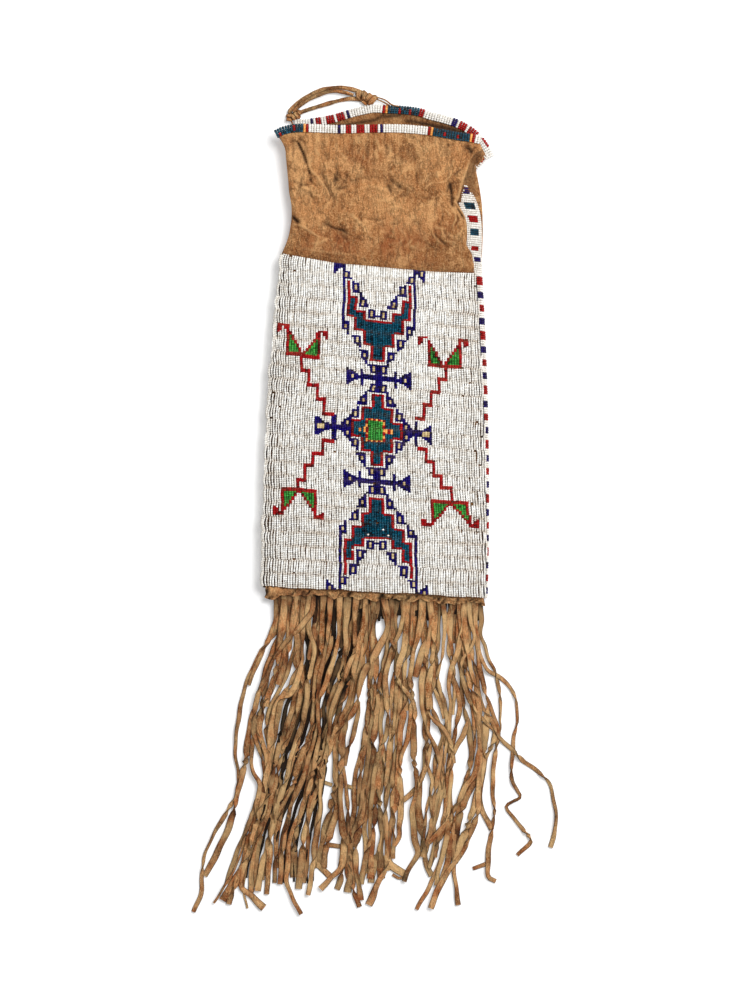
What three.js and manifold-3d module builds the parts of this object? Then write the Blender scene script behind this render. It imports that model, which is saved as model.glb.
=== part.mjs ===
// A beaded tobacco bag lying on its back: hide pouch, lane-stitched bead panels, beaded mouth, fringe and tie.
// Millimetres. +Y runs to the mouth, +X to the side seam, +Z up from the surface that the bag lies on.

import * as THREE from "three";
import { mergeVertices } from "three/addons/utils/BufferGeometryUtils.js";
import Module from "manifold-3d";

// Hide pouch
const clearance = 0.3;
const hideThickness = 1.3;
const pouchDepth = 9;
const cornerCut = 2;
const bottomHem = 1;
const flatness = 0.04;

// Bead lanes: the origin lies under the middle of the lane numbered originLane from the top
const laneCount = 24;
const laneHeight = 10.12;
const originLane = 12.5;
const laneTiltTop = 5.7;
const laneTiltBottom = 4.25;
const beadDepth = 1.6;
const laneCrown = 0.7;
const backCrestFlat = 4;
const foldDepth = 1.9;

// Panel outline, from the middle line to each side
const leftTop = 70.5;
const leftBottom = 85;
const leftBulge = 3.3;
const rightTop = 75;
const rightBottom = 82.5;
const rightBulge = 2.75;

// Colour fields, laid out in bead columns from the motif's middle and in lanes from the top
const columnPitchTop = 1.73;
const columnPitchBottom = 1.93;
const motifColumn = 1.3;
const wingColumn = -0.3;
const mirrorLane = 12.05;
const contourWidth = 1.6;
const inlayFloor = 0.7;

// Neck and mouth
const neckHeight = 96.5;
const mouthWidth = 149;
const mouthShift = 3;
const mouthGape = 5;
const lipFallLeft = 4;
const lipFallRight = 8.5;
const backLipRise = 16.4;
const waistLeft = 8;
const waistRight = 10;
const seamFlare = 1.5;

// Beaded edgings
const edgingHeight = 6.6;
const edgingThickness = 4.6;
const edgingSlot = 4.2;
const edgingStep = 13;
const lipInsert = 2;
const cornerDrop = 3;
const seamWidthTop = 5.5;
const seamWidthBottom = 1.4;
const stripDepth = 2;
const stripLift = 0.6;
const stripInset = 0.06;
const stripTop = 0.7;

// Fringe
const headerHeight = 10;
const headerDepth = 9;
const headerTaper = 6;
const headerRound = 2;
const thongWidth = 4.6;
const thongThickness = 1.4;
const layerGap = 0.4;
const layerCount = 3;
const thongsPerLayer = 12;
const thongSteps = 4;
const fringeLength = 215;
const lengthVariation = 13;
const fringeSpread = 28;
const fringeLean = 8.5;
const thongSway = 2.5;

// Tie
const tieDiameter = 3.6;
const tieLift = 0.2;
const knotLength = 10;
const knotWidth = 7;
const wrapLength = 8;
const wrapWidth = 4.5;

// Colours
const white = 0xe4e0d6;
const navy = 0x2a1c78;
const red = 0x9e1420;
const teal = 0x14505f;
const green = 0x3f8a48;
const hide = 0xab7a45;
const thong = 0x9c7350;

const { lerp, smoothstep, degToRad, seededRandom } = THREE.MathUtils;
const wasm = await Module();
wasm.setup();

// Levels of the stack, from the surface up
const panelDepth = beadDepth + laneCrown;
const backOuter = panelDepth + clearance;
const frontOuter = backOuter + pouchDepth;
const frontBase = frontOuter + clearance;
const frontCrest = frontBase + panelDepth;

const bag = new THREE.Group();

function addPiece(name, geometry, colour, roughness) {
  geometry.computeVertexNormals();
  const material = new THREE.MeshStandardMaterial({ color: colour, roughness, metalness: 0 });
  const mesh = new THREE.Mesh(geometry, material);
  mesh.name = name;
  bag.add(mesh);
}

const addBeads = (name, geometry, colour) => addPiece(name, geometry, colour, 0.35);
const addHide = (name, geometry, colour) => addPiece(name, geometry, colour, 0.9);

// A closed solid through rings of equal length; point j of a ring faces point -1 - j across the end caps
function loft(rings) {
  const count = rings[0].length;
  const triangles = [];
  const quad = (a, b, c, d) => triangles.push(a, b, c, a, c, d);
  for (let i = 0; i < rings.length - 1; i++) {
    for (let j = 0; j < count; j++) {
      const next = (j + 1) % count;
      quad(i * count + j, i * count + next, (i + 1) * count + next, (i + 1) * count + j);
    }
  }
  const last = (rings.length - 1) * count;
  for (let j = 0; j < count / 2 - 1; j++) {
    quad(j, count - 1 - j, count - 2 - j, j + 1);
    quad(last + j, last + j + 1, last + count - 2 - j, last + count - 1 - j);
  }
  const geometry = new THREE.BufferGeometry().setFromPoints(rings.flat());
  geometry.setIndex(triangles);
  return facingOut(geometry);
}

function facingOut(geometry) {
  const points = geometry.attributes.position;
  const index = geometry.index.array;
  const corner = (i) => new THREE.Vector3().fromBufferAttribute(points, index[i]);
  let volume = 0;
  for (let i = 0; i < index.length; i += 3) {
    volume += corner(i).dot(corner(i + 1).cross(corner(i + 2)));
  }
  if (volume < 0) geometry.setIndex([...index].reverse());
  return geometry;
}

// Solids for joining and cutting
function solid(geometry) {
  const bare = geometry.clone();
  bare.deleteAttribute("normal");
  bare.deleteAttribute("uv");
  const merged = mergeVertices(bare);
  const vertProperties = new Float32Array(merged.attributes.position.array);
  const triVerts = new Uint32Array(merged.index.array);
  return new wasm.Manifold(new wasm.Mesh({ numProp: 3, vertProperties, triVerts }));
}

function shaped(body) {
  const mesh = body.asOriginal().simplify(flatness).getMesh();
  const geometry = new THREE.BufferGeometry();
  geometry.setAttribute("position", new THREE.BufferAttribute(new Float32Array(mesh.vertProperties), 3));
  geometry.setIndex([...mesh.triVerts]);
  return geometry;
}

const joined = (bodies) => bodies.reduce((whole, body) => whole.add(body));

function prism(outline, low, high) {
  const settings = { depth: high - low, bevelEnabled: false };
  return solid(new THREE.ExtrudeGeometry(new THREE.Shape(outline), settings).translate(0, 0, low));
}

// An outline moved inward by a distance, with mitred corners
function inset(outline, distance) {
  const inward = Math.sign(THREE.ShapeUtils.area(outline)) * distance;
  return outline.map((point, i) => {
    const before = point.clone().sub(outline.at(i - 1)).normalize();
    const after = outline[(i + 1) % outline.length].clone().sub(point).normalize();
    const side = new THREE.Vector2(-before.y - after.y, before.x + after.x);
    return point.clone().addScaledVector(side, inward / (1 + before.dot(after)));
  });
}

// Lane layout
const laneShare = (lane) => lane / laneCount;
const laneSlope = (lane) => Math.tan(degToRad(lerp(laneTiltTop, laneTiltBottom, laneShare(lane))));
const laneY = (lane, x) => (originLane - lane) * laneHeight - x * laneSlope(lane);
const bulged = (top, bottom, bulge, v) => lerp(top, bottom, v) + 4 * bulge * v * (1 - v);
const leftX = (lane) => -bulged(leftTop, leftBottom, leftBulge, laneShare(lane));
const rightX = (lane) => bulged(rightTop, rightBottom, rightBulge, laneShare(lane));
const panelLeft = (lane) => leftX(lane) + foldDepth + clearance;

function panelPoint(column, lane) {
  const x = column * lerp(columnPitchTop, columnPitchBottom, laneShare(lane));
  return new THREE.Vector2(x, laneY(lane, x));
}

// The rows of every lane as [lane, height], from the top stitch line to the bottom one
function laneRows(crestWidth) {
  const rows = [[0, beadDepth]];
  const half = crestWidth / laneHeight / 2;
  for (let lane = 0; lane < laneCount; lane++) {
    const middle = lane + 0.5;
    if (half > 0) rows.push([middle - half, panelDepth]);
    rows.push([middle + half, panelDepth], [lane + 1, beadDepth]);
  }
  return rows;
}

function lanePanel(base, up, crestWidth) {
  return loft(laneRows(crestWidth).map(([lane, height]) => {
    const left = panelLeft(lane);
    const right = rightX(lane);
    const at = (x, z) => new THREE.Vector3(x, laneY(lane, x), z);
    const face = base + up * height;
    return [at(left, base), at(left, face), at(right, face), at(right, base)];
  }));
}

// Motif outlines, in columns and lanes
const mirrored = (outline) => outline.map(([column, lane]) => [-column, lane]);
const lowered = (outline) => outline.map(([column, lane]) => [column, 2 * mirrorLane - lane]);
const bothSides = (half) => [...half, ...mirrored(half).reverse()];
const box = (c0, l0, c1, l1) => [[c0, l0], [c1, l0], [c1, l1], [c0, l1]];
const placed = (outline, middle = motifColumn) => outline.map(([column, lane]) => panelPoint(column + middle, lane));

const forkField = bothSides([
  [-5.8, 4.15], [-5.8, 3.5], [-9.4, 3.5], [-9.4, 2.5], [-13.7, 2.5], [-13.7, 4],
  [-10.4, 4], [-10.4, 5], [-6.5, 5], [-6.5, 6], [-2.7, 6], [-2.7, 7.1],
]);
const forkProng = box(-13.2, 1.5, -12.2, 2.66);
const diamondStep = [[-2.6, 9.45], [-2.6, 10.45], [-6.3, 10.45], [-6.3, 11.45], [-10, 11.45]];
const diamondField = bothSides([...diamondStep, ...lowered(diamondStep).reverse()]);
const diamondCentre = bothSides([[-3.3, mirrorLane - 0.75], [-3.3, mirrorLane + 0.75]]);

const navyMiddle = [
  bothSides([
    [-2.2, 3.5], [-4.2, 3], [-8, 2], [-11, 0.95], [-15.4, 0.25], [-15.4, 1.2], [-11.4, 1.2],
    [-11.4, 2.3], [-8.4, 2.3], [-8.4, 3.3], [-4.6, 3.3], [-4.6, 3.95],
  ]),
  bothSides([
    [-4.4, 7.35], [-4.4, 6.3], [-8.2, 6.3], [-8.2, 5.3], [-12, 5.3], [-12, 4.3],
    [-15.4, 4.3], [-12.4, 5.65], [-8.6, 6.65], [-4.8, 7.7], [-2.4, 8.1],
  ]),
  bothSides([
    [-4.4, 9.25], [-4.4, 10.2], [-8.2, 10.2], [-8.2, 11.2], [-12.2, 11.2], [-12.2, 12.25],
    [-15.5, 12.25], [-15.5, 11.7], [-12, 10.85], [-8.2, 9.85], [-4.7, 8.95], [-2.4, 8.55],
  ]),
  box(-1.2, 7.6, 1.2, 9.1),
  box(-9.6, 8.17, 9.6, 8.48),
];
const navySide = [
  box(-15.4, 0.25, -14.2, 4.8),
  box(-19.2, 0.2, -14.2, 0.5),
  box(-19.2, 0.2, -18, 1.2),
  box(-7.1, 7.6, -6.1, 9),
  [[-12.8, 7.75], [-7.6, 8.32], [-12.8, 8.95]],
];
const navyArm = (tick, inner) => [
  box(tick - 5, mirrorLane - 0.16, inner, mirrorLane + 0.16),
  box(tick - 0.5, mirrorLane - 0.85, tick + 0.5, mirrorLane + 0.85),
  [[tick - 7.3, mirrorLane - 0.65], [tick - 2.4, mirrorLane], [tick - 7.3, mirrorLane + 0.65]],
];

// A winged figure left of the middle: its body, its hooks and the stepped line down to the arm
const wingBody = [[-36.3, 5.2], [-29.5, 6.7], [-22.7, 5.3], [-22.7, 7.15], [-36.3, 7.15]];
const wingFields = {
  outer: [[-36.3, 5.2], [-36.3, 7.15], [-30, 7.15]],
  inner: [[-22.7, 5.3], [-22.7, 7.15], [-29, 7.15]],
};
const wingHooks = [
  box(-36.3, 5.2, -35.2, 6),
  box(-39.8, 5.2, -35.2, 5.45),
  box(-39.8, 5.2, -38.6, 5.75),
  box(-23.8, 5.3, -22.7, 6.1),
  box(-23.8, 5.3, -19.6, 5.55),
  box(-20.8, 5.3, -19.6, 5.85),
];
const stepColumns = [-29.4, -26.6, -23.3, -20.4, -17.9];
const stepLanes = [7.1, 8.1, 9.15, 10.15, 11.15];
const stepHalf = 0.09;
const wingSteps = stepColumns.slice(0, -1).flatMap((column, i) => [
  box(column - 0.5, stepLanes[i] - stepHalf, column + 0.5, stepLanes[i + 1] + stepHalf),
  box(column - 0.5, stepLanes[i + 1] - stepHalf, stepColumns[i + 1] + 0.5, stepLanes[i + 1] + stepHalf),
]);

// The front panel: ridged lanes with a shallow bed for every colour field, and the fields that fill them
const frontLanes = solid(lanePanel(frontBase, 1, 0));
const cutTop = frontCrest + clearance;
const bedFloor = frontBase + inlayFloor;
const bed = (outline) => prism(outline, bedFloor, cutTop);
const fill = (outline) => prism(inset(outline, clearance), bedFloor + clearance, cutTop);
const beds = [];

function addField(name, colour, outlines, holes = []) {
  beds.push(...outlines.map(bed));
  let body = joined(outlines.map(fill));
  for (const hole of holes) body = body.subtract(bed(hole));
  addBeads(name, shaped(frontLanes.intersect(body)), colour);
}

function addContour(name, outline, prongs, centre) {
  const inner = inset(outline, contourWidth);
  addField(`${name}_contour`, red, [outline, ...prongs], [inner]);
  addField(`${name}_field`, teal, [inner], centre);
}

const wingPlaced = (outline) => placed(outline, wingColumn);
const tickColumn = -18.45;
const navyUpper = [...navyMiddle, ...navySide, ...navySide.map(mirrored)];
const armGap = 13.5;
const navyAll = [
  ...navyUpper,
  ...navyUpper.map(lowered),
  ...navyArm(tickColumn, -armGap),
  ...navyArm(tickColumn + 2 * (motifColumn - wingColumn), -armGap).map(mirrored),
];
addField("navy_motif", navy, navyAll.map((outline) => placed(outline)));

const prongs = [forkProng, mirrored(forkProng)];
addContour("upper_fork", placed(forkField), prongs.map((prong) => placed(prong)), []);
addContour("lower_fork", placed(lowered(forkField)), prongs.map((prong) => placed(lowered(prong))), []);
addContour("diamond", placed(diamondField), [], [placed(diamondCentre)]);
addField("diamond_centre", green, [placed(diamondCentre)]);

const corners = {
  upper_left: (outline) => wingPlaced(outline),
  upper_right: (outline) => wingPlaced(mirrored(outline)),
  lower_left: (outline) => wingPlaced(lowered(outline)),
  lower_right: (outline) => wingPlaced(lowered(mirrored(outline))),
};
for (const [corner, place] of Object.entries(corners)) {
  const openings = Object.entries(wingFields).map(([side, outline]) => [side, inset(place(outline), contourWidth)]);
  const figure = [wingBody, ...wingHooks, ...wingSteps].map(place);
  addField(`${corner}_wing`, red, figure, openings.map(([, outline]) => outline));
  for (const [side, outline] of openings) addField(`${corner}_wing_${side}_field`, green, [outline]);
}

addBeads("front_bead_panel", shaped(frontLanes.subtract(joined(beds))), white);
addBeads("back_bead_panel", shaped(solid(lanePanel(panelDepth, -1, backCrestFlat))), white);

// The beads that wrap the left fold and the edging that closes the right seam, one swell to a lane
function sideBar(inner, outer) {
  const low = laneCrown;
  const high = frontBase + beadDepth;
  const round = pouchDepth / 4;
  return shaped(solid(loft(laneRows(0).map(([lane, height]) => {
    const near = inner(lane);
    const far = outer(lane) + Math.sign(outer(lane)) * (height - panelDepth) / 2;
    const at = (x, z) => new THREE.Vector3(x, laneY(lane, near), z);
    return [at(near, low), at(far, low + round), at(far, high - round), at(near, high)];
  }))));
}

const seamWidth = (lane) => lerp(seamWidthTop, seamWidthBottom, laneShare(lane));
addBeads("left_fold_beads", sideBar((lane) => leftX(lane) + foldDepth, leftX), white);
addBeads("right_seam_edging", sideBar(
  (lane) => rightX(lane) + clearance,
  (lane) => rightX(lane) + clearance + seamWidth(lane),
), white);

// Lines of the two lips, from the left corner of the mouth to the right one
const lipY = originLane * laneHeight + neckHeight;
const lipX = (part) => mouthShift + part * mouthWidth;
const lip = (points) => new THREE.SplineCurve(points.map(([part, y]) => new THREE.Vector2(lipX(part), lipY + y)));
const frontLip = lip([[-0.5, -lipFallLeft], [-0.38, 0], [0, 0], [0.25, -2], [0.5, -lipFallRight]]);
const backLip = lip([
  [-0.43, 4], [-0.25, backLipRise - 9], [0, backLipRise], [0.25, backLipRise - 5],
  [0.45, 0], [0.55, -backLipRise - 2],
]);

// The pouch: front and back walls between a lane of the panel or a height of the neck and the lips
const frontFolds = [
  { across: 0.16, up: 0.8, width: 0.06, height: 0.16, rise: -1.4 },
  { across: 0.05, up: 0.7, width: 0.05, height: 0.2, rise: 0.9 },
  { across: 0.9, up: 0.45, width: 0.07, height: 0.12, rise: -1.5 },
  { across: 0.2, up: 0.25, width: 0.12, height: 0.08, rise: -0.8 },
];
const chain = [0, 0.08, 0.18, 0.4, 0.65, 0.9, 1];

function foldRise(across, up) {
  const fade = 1 - smoothstep(up, 0.8, 0.97);
  return frontFolds.reduce((sum, fold) => {
    const distance = ((across - fold.across) / fold.width) ** 2 + ((up - fold.up) / fold.height) ** 2;
    return sum + fade * fold.rise * Math.exp(-distance);
  }, 0);
}

function neckPoint(curve, rightShift, across, up) {
  const x = lerp(panelLeft(0), rightX(0), across);
  const base = new THREE.Vector2(x, laneY(0, x));
  const point = base.lerp(curve.getPoint(across), up);
  point.x += Math.sin(Math.PI * up) * lerp(waistLeft, rightShift, across);
  return point;
}

const frontNeck = (across, up) => neckPoint(frontLip, -waistRight, across, up);
const backNeck = (across, up) => neckPoint(backLip, seamFlare, across, up);
const neckFrontZ = (up) => frontOuter + mouthGape * smoothstep(up, 0, 0.9);

function outward(curve, across) {
  const tangent = curve.getTangent(across);
  return new THREE.Vector2(-tangent.y, tangent.x);
}

// One ring of the pouch: front wall from left to right, then the back wall from right to left
function pouchRing({ front, back, frontZ, rise, sideDrop }, wall) {
  const low = backOuter + wall;
  const cut = cornerCut - wall / 2;
  const narrowed = (line) => {
    const points = chain.map(line);
    const [first, last] = [points[0].x, points.at(-1).x];
    const scale = (last - first - 2 * wall - 2 * cut) / (last - first);
    return points.map((point) => new THREE.Vector2(first + wall + cut + (point.x - first) * scale, point.y));
  };
  const ahead = narrowed(front);
  const behind = narrowed(back).reverse();
  const side = (point, shift, z) => new THREE.Vector3(point.x + shift, point.y - sideDrop, z);
  return [
    side(ahead[0], -cut, frontZ - wall - cut),
    ...ahead.map((point, i) => new THREE.Vector3(point.x, point.y, frontZ - wall + rise(chain[i]))),
    side(ahead.at(-1), cut, frontZ - wall - cut),
    side(behind[0], cut, low + cut),
    ...behind.map((point) => new THREE.Vector3(point.x, point.y, low)),
    side(behind.at(-1), -cut, low + cut),
  ];
}

function panelStation(lane, lift) {
  const line = (across) => {
    const x = lerp(panelLeft(Math.min(lane, laneCount)), rightX(Math.min(lane, laneCount)), across);
    return new THREE.Vector2(x, laneY(lane, x) + lift);
  };
  return { front: line, back: line, frontZ: frontOuter, rise: () => 0, sideDrop: 0 };
}

const neckStation = (up) => ({
  front: (across) => frontNeck(across, up),
  back: (across) => backNeck(across, up),
  frontZ: neckFrontZ(up),
  rise: (across) => foldRise(across, up),
  sideDrop: up < 1 ? 0 : cornerDrop,
});

// The mouth's cut edge, inside the slot of its edging; reach carries the hollow out past the edge
const mouthStation = (reach) => ({
  front: (across) => frontLip.getPoint(across).addScaledVector(outward(frontLip, across), lipInsert + reach),
  back: (across) => backLip.getPoint(across).addScaledVector(outward(backLip, across), lipInsert + reach),
  frontZ: neckFrontZ(1),
  rise: () => 0,
  sideDrop: cornerDrop + clearance,
});

const neckSteps = [0.1, 0.2, 0.32, 0.45, 0.57, stripTop, 0.84, 1];
const mouthReach = 12;

function pouch(wall, reach) {
  const hem = laneCount + bottomHem / laneHeight;
  const stations = [panelStation(hem, wall)];
  for (const share of [0.75, 0.5, 0.25, 0]) stations.push(panelStation(share * laneCount, 0));
  stations.push(...neckSteps.map(neckStation), mouthStation(0));
  if (reach > 0) stations.push(mouthStation(reach));
  return solid(loft(stations.map((station) => pouchRing(station, wall))));
}

addHide("hide_bag", shaped(pouch(0, 0).subtract(pouch(hideThickness, mouthReach))), hide);

// Edging of a lip: a folded strip of beads that straddles the cut edge, in blocks of colour
function edgingRing(curve, along, z) {
  const place = curve.getPointAt(along);
  const tangent = curve.getTangentAt(along);
  const normal = new THREE.Vector2(-tangent.y, tangent.x);
  const half = edgingThickness / 2;
  const slot = hideThickness / 2 + clearance;
  const at = (height, rise) => {
    const point = place.clone().addScaledVector(normal, height);
    return new THREE.Vector3(point.x, point.y, z + rise);
  };
  return [
    at(clearance, -half), at(edgingHeight, -half / 2), at(edgingHeight, half / 2), at(clearance, half),
    at(clearance, slot), at(edgingSlot, slot), at(edgingSlot, -slot), at(clearance, -slot),
  ];
}

function addEdging(name, curve, z, blocks) {
  const ends = 2 * cornerCut;
  const length = curve.getLength();
  const total = blocks.reduce((sum, [, share]) => sum + share, 0);
  const usable = length - 2 * ends;
  let start = ends;
  blocks.forEach(([block, share, colour]) => {
    const size = (usable * share) / total;
    const steps = Math.max(1, Math.round(size / edgingStep));
    const rings = [];
    for (let i = 0; i <= steps; i++) {
      const along = start + lerp(clearance / 2, size - clearance / 2, i / steps);
      rings.push(edgingRing(curve, along / length, z));
    }
    addBeads(`${name}_${block}`, loft(rings), colour);
    start += size;
  });
}

addEdging("front_lip", frontLip, neckFrontZ(1) - hideThickness / 2, [
  ["teal_left", 17, teal], ["white_left", 26, white], ["red", 32, red],
  ["white_right", 34, white], ["teal_right", 31, teal], ["white_end", 7, white],
]);
addEdging("back_lip", backLip, backOuter + hideThickness / 2, [
  ["white_left", 11, white], ["red_left", 31, red], ["white_middle", 27, white], ["teal", 26, teal],
  ["white_right", 25, white], ["red_right", 22, red], ["white_end", 21, white],
]);

// The beaded strip on the slanting side of the neck, over the seam
function seamStripRing(up) {
  const ring = pouchRing(neckStation(up), 0);
  const top = ring[chain.length + 1];
  const bottom = ring[chain.length + 2];
  const across = bottom.clone().sub(top);
  const normal = new THREE.Vector3(-across.z, 0, across.x).normalize();
  const at = (share, height) => top.clone().addScaledVector(across, share).addScaledVector(normal, height);
  const high = stripLift + stripDepth;
  const [near, far] = [stripInset, 1 - stripInset];
  return [at(far, stripLift), at(far, high), at(near, high), at(near, stripLift)];
}

addBeads("neck_seam_strip", loft(neckSteps.filter((up) => up <= stripTop).map(seamStripRing)), white);

// Fringe: a rolled header along the bottom, cut into thongs that lie in layers
const hemLane = laneCount + (bottomHem + clearance) / laneHeight;
const headerLeft = leftX(laneCount) + foldDepth;
const headerRight = rightX(laneCount);
const headerLow = backOuter;
const headerX = (across, drop) => lerp(headerLeft + headerTaper * drop, headerRight - headerTaper * drop / 4, across);

function headerPoint(across, drop, z) {
  const x = headerX(across, drop);
  return new THREE.Vector3(x, laneY(hemLane, x) - drop * headerHeight, z);
}

function headerRing(across) {
  const cut = headerRound / headerHeight;
  const high = headerLow + headerDepth;
  const at = (drop, z) => headerPoint(across, drop, z);
  return [
    at(0, headerLow + headerRound), at(cut, headerLow), at(1 - cut, headerLow), at(1, headerLow + headerRound),
    at(1, high - headerRound), at(1 - cut, high), at(cut, high), at(0, high - headerRound),
  ];
}

// A flat thong along points that already have their heights
function thongStrip(points) {
  return solid(loft(points.map((point, i) => {
    const ahead = points[Math.min(i + 1, points.length - 1)];
    const behind = points[Math.max(i - 1, 0)];
    const along = ahead.clone().sub(behind).setZ(0).normalize();
    const across = new THREE.Vector3(-along.y, along.x, 0).multiplyScalar(thongWidth / 2);
    const up = new THREE.Vector3(0, 0, thongThickness / 2);
    const at = (side, rise) => point.clone().addScaledVector(across, side).addScaledVector(up, rise);
    return [at(-1, 1), at(1, 1), at(1, -1), at(-1, -1)];
  })));
}

const thongPitch = thongThickness + layerGap;
const layerZ = (layer) => thongThickness / 2 + layer * thongPitch;
const rootZ = (layer) => headerLow + lerp(headerRound, headerDepth - headerRound, layer / (layerCount - 1));
const rootDrop = 0.8;
const layingShare = 0.35;

// The thongs leave the header's lower edge and come down to rest on one another
function thongRoot(across) {
  const margin = thongWidth / (headerRight - headerLeft);
  return headerPoint(lerp(margin, 1 - margin, across), rootDrop, 0);
}

function thongHeight(layer, share) {
  return lerp(rootZ(layer), layerZ(layer), smoothstep(share, 0, layingShare));
}

function layerThong(layer, number) {
  const seed = layer * thongsPerLayer + number + 1;
  const across = (number + 0.5 + (layer - 1) / layerCount) / thongsPerLayer;
  const root = thongRoot(across);
  const slant = lerp(-fringeSpread, 0, across) - fringeLean;
  const length = fringeLength + lengthVariation * lerp(-1, 1, seededRandom(seed));
  const points = [];
  for (let i = 0; i <= thongSteps; i++) {
    const share = i / thongSteps;
    const sway = thongSway * Math.sin(5 * share + 2 * layer);
    const x = root.x + (slant + sway) * share;
    points.push(new THREE.Vector3(x, root.y - length * share, thongHeight(layer, share)));
  }
  return thongStrip(points);
}

// Thongs that stray from the rest, each with its layer, its place on the header and its points from there
const strays = [
  { layer: 0, across: -0.02, points: [
    [2, -15], [-6.5, -40], [-13.5, -56], [-22.5, -88], [-26, -120], [-24.5, -132], [-36.5, -170], [-48, -188],
    [-50.5, -202], [-56, -232],
  ] },
  { layer: 1, across: 0, points: [
    [-5.5, -45], [-13.5, -75], [-20.5, -110], [-28.5, -148], [-38.5, -182], [-49.5, -203],
  ] },
  { layer: 2, across: 0, points: [[-6, -60], [-12, -110], [-19, -160], [-28, -198], [-44, -226]] },
  { layer: 0, across: 1.01, points: [
    [-1, -18], [11, -44], [21, -55], [27, -71], [24, -96], [22, -126], [28, -135], [19.5, -144], [36, -167],
    [28.5, -179],
  ] },
  { layer: 1, across: 0.98, points: [
    [0.5, -40], [1, -64], [18, -93], [45, -117], [58, -131], [62, -155], [57.5, -174],
  ] },
  { layer: 2, across: 0.98, points: [[7, -44], [18, -88], [15, -127], [15.5, -145], [11, -197]] },
];

function strayThong({ layer, across, points }) {
  const root = thongRoot(across);
  const route = [root, ...points.map(([x, y]) => new THREE.Vector3(root.x + x, root.y + y, 0))];
  const stations = new THREE.CatmullRomCurve3(route).getPoints(route.length);
  stations.forEach((station, i) => station.setZ(thongHeight(layer, i / route.length)));
  return thongStrip(stations);
}

const fringe = [solid(loft([0, 0.25, 0.5, 0.75, 1].map(headerRing)))];
for (let layer = 0; layer < layerCount; layer++) {
  for (let number = 0; number < thongsPerLayer; number++) fringe.push(layerThong(layer, number));
}
fringe.push(...strays.map(strayThong));
addHide("fringe", shaped(joined(fringe)), thong);

// Tie: two strands from the wrap at the left end of the back lip to the knot on its crest
const besideLip = (part, width) => {
  const reach = edgingHeight + clearance + width / 2;
  return backLip.getPoint(part).addScaledVector(outward(backLip, part), reach);
};
const wrapPlace = besideLip(0, wrapWidth);
const knotPlace = besideLip(0.39, knotWidth);

// Points of the strands: share of the way from the wrap to the knot, and rise above that line
const tieRoutes = {
  tie_outer_strand: [
    [-0.013, 4.4], [0.082, 9.3], [0.225, 13.3], [0.391, 15.3], [0.573, 14.4], [0.731, 10.9], [0.842, 7], [0.921, 3.5],
  ],
  tie_lower_strand: [[0.068, 1.6], [0.209, 2.8], [0.367, 3.7], [0.541, 4.5], [0.699, 4.3], [0.81, 2.4], [0.913, -0.5]],
};
const tieSides = 8;
const tieSteps = 7;

for (const [name, route] of Object.entries(tieRoutes)) {
  const path = new THREE.CatmullRomCurve3(route.map(([share, rise]) => {
    const place = wrapPlace.clone().lerp(knotPlace, share);
    return new THREE.Vector3(place.x, place.y + rise, tieDiameter / 2 + tieLift);
  }));
  const round = new THREE.EllipseCurve(0, 0, tieDiameter / 2, tieDiameter / 2);
  const section = new THREE.Shape(round.getPoints(tieSides).slice(0, tieSides));
  addHide(name, new THREE.ExtrudeGeometry(section, { steps: tieSteps, extrudePath: path }), thong);
}

function addTurns(name, place, length, width) {
  const depth = 1.3 * tieDiameter;
  const shape = new THREE.SphereGeometry(0.5, tieSides, tieSides / 2).scale(length, width, depth);
  addHide(name, shape.translate(place.x, place.y, depth / 2 + tieLift), thong);
}

addTurns("tie_knot", knotPlace, knotLength, knotWidth);
addTurns("tie_wrap", wrapPlace, wrapLength, wrapWidth);

export default bag;
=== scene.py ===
import math
import bmesh
import bpy
import numpy as np
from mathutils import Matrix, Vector, noise


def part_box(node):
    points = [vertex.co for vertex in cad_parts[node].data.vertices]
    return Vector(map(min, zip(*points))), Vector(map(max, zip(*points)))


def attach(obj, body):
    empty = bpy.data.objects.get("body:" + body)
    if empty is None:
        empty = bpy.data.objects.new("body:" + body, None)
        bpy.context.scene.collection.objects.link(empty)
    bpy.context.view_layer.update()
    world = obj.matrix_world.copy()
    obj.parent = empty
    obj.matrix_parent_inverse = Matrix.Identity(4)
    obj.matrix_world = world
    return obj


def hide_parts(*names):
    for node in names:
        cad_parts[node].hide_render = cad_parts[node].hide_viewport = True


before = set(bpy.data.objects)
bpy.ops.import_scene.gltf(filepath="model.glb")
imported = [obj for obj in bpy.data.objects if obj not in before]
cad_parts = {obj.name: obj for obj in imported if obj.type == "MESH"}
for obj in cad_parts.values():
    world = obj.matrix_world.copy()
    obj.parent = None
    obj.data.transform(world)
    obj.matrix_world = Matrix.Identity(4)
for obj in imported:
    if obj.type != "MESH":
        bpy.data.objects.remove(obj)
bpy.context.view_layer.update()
mm = 0.001
dice = np.random.default_rng(1885)
print("frame loaded:", len(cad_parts), "nodes")

# Camera straight above the bag, at the photograph's framing
shot = {
    "height": 3.0, "middleX": 0.48, "middleY": -48.3, "frameHeight": 740.0, "focusLevel": 14.0,
    "sensor": 36.0,
}


def placeCamera():
    data = bpy.data.cameras.new("overheadCamera")
    data.sensor_fit = "VERTICAL"
    data.sensor_height = shot["sensor"]
    data.sensor_width = shot["sensor"]
    data.lens = shot["sensor"] * (shot["height"] / mm - shot["focusLevel"]) / shot["frameHeight"]
    camera = bpy.data.objects.new("overheadCamera", data)
    camera.location = (shot["middleX"] * mm, shot["middleY"] * mm, shot["height"])
    bpy.context.collection.objects.link(camera)
    bpy.context.scene.camera = camera


placeCamera()
print("camera placed")


# Small tools for curves and meshes
def smoothStep(low, high, value):
    share = np.clip((np.asarray(value, float) - low) / (high - low), 0, 1)
    return share * share * (3 - 2 * share)


def plateau(rise, fall, value):  # up from 0 to 1 between two levels, and down again between two more
    return smoothStep(*rise, value) * (1 - smoothStep(*fall, value))


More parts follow.
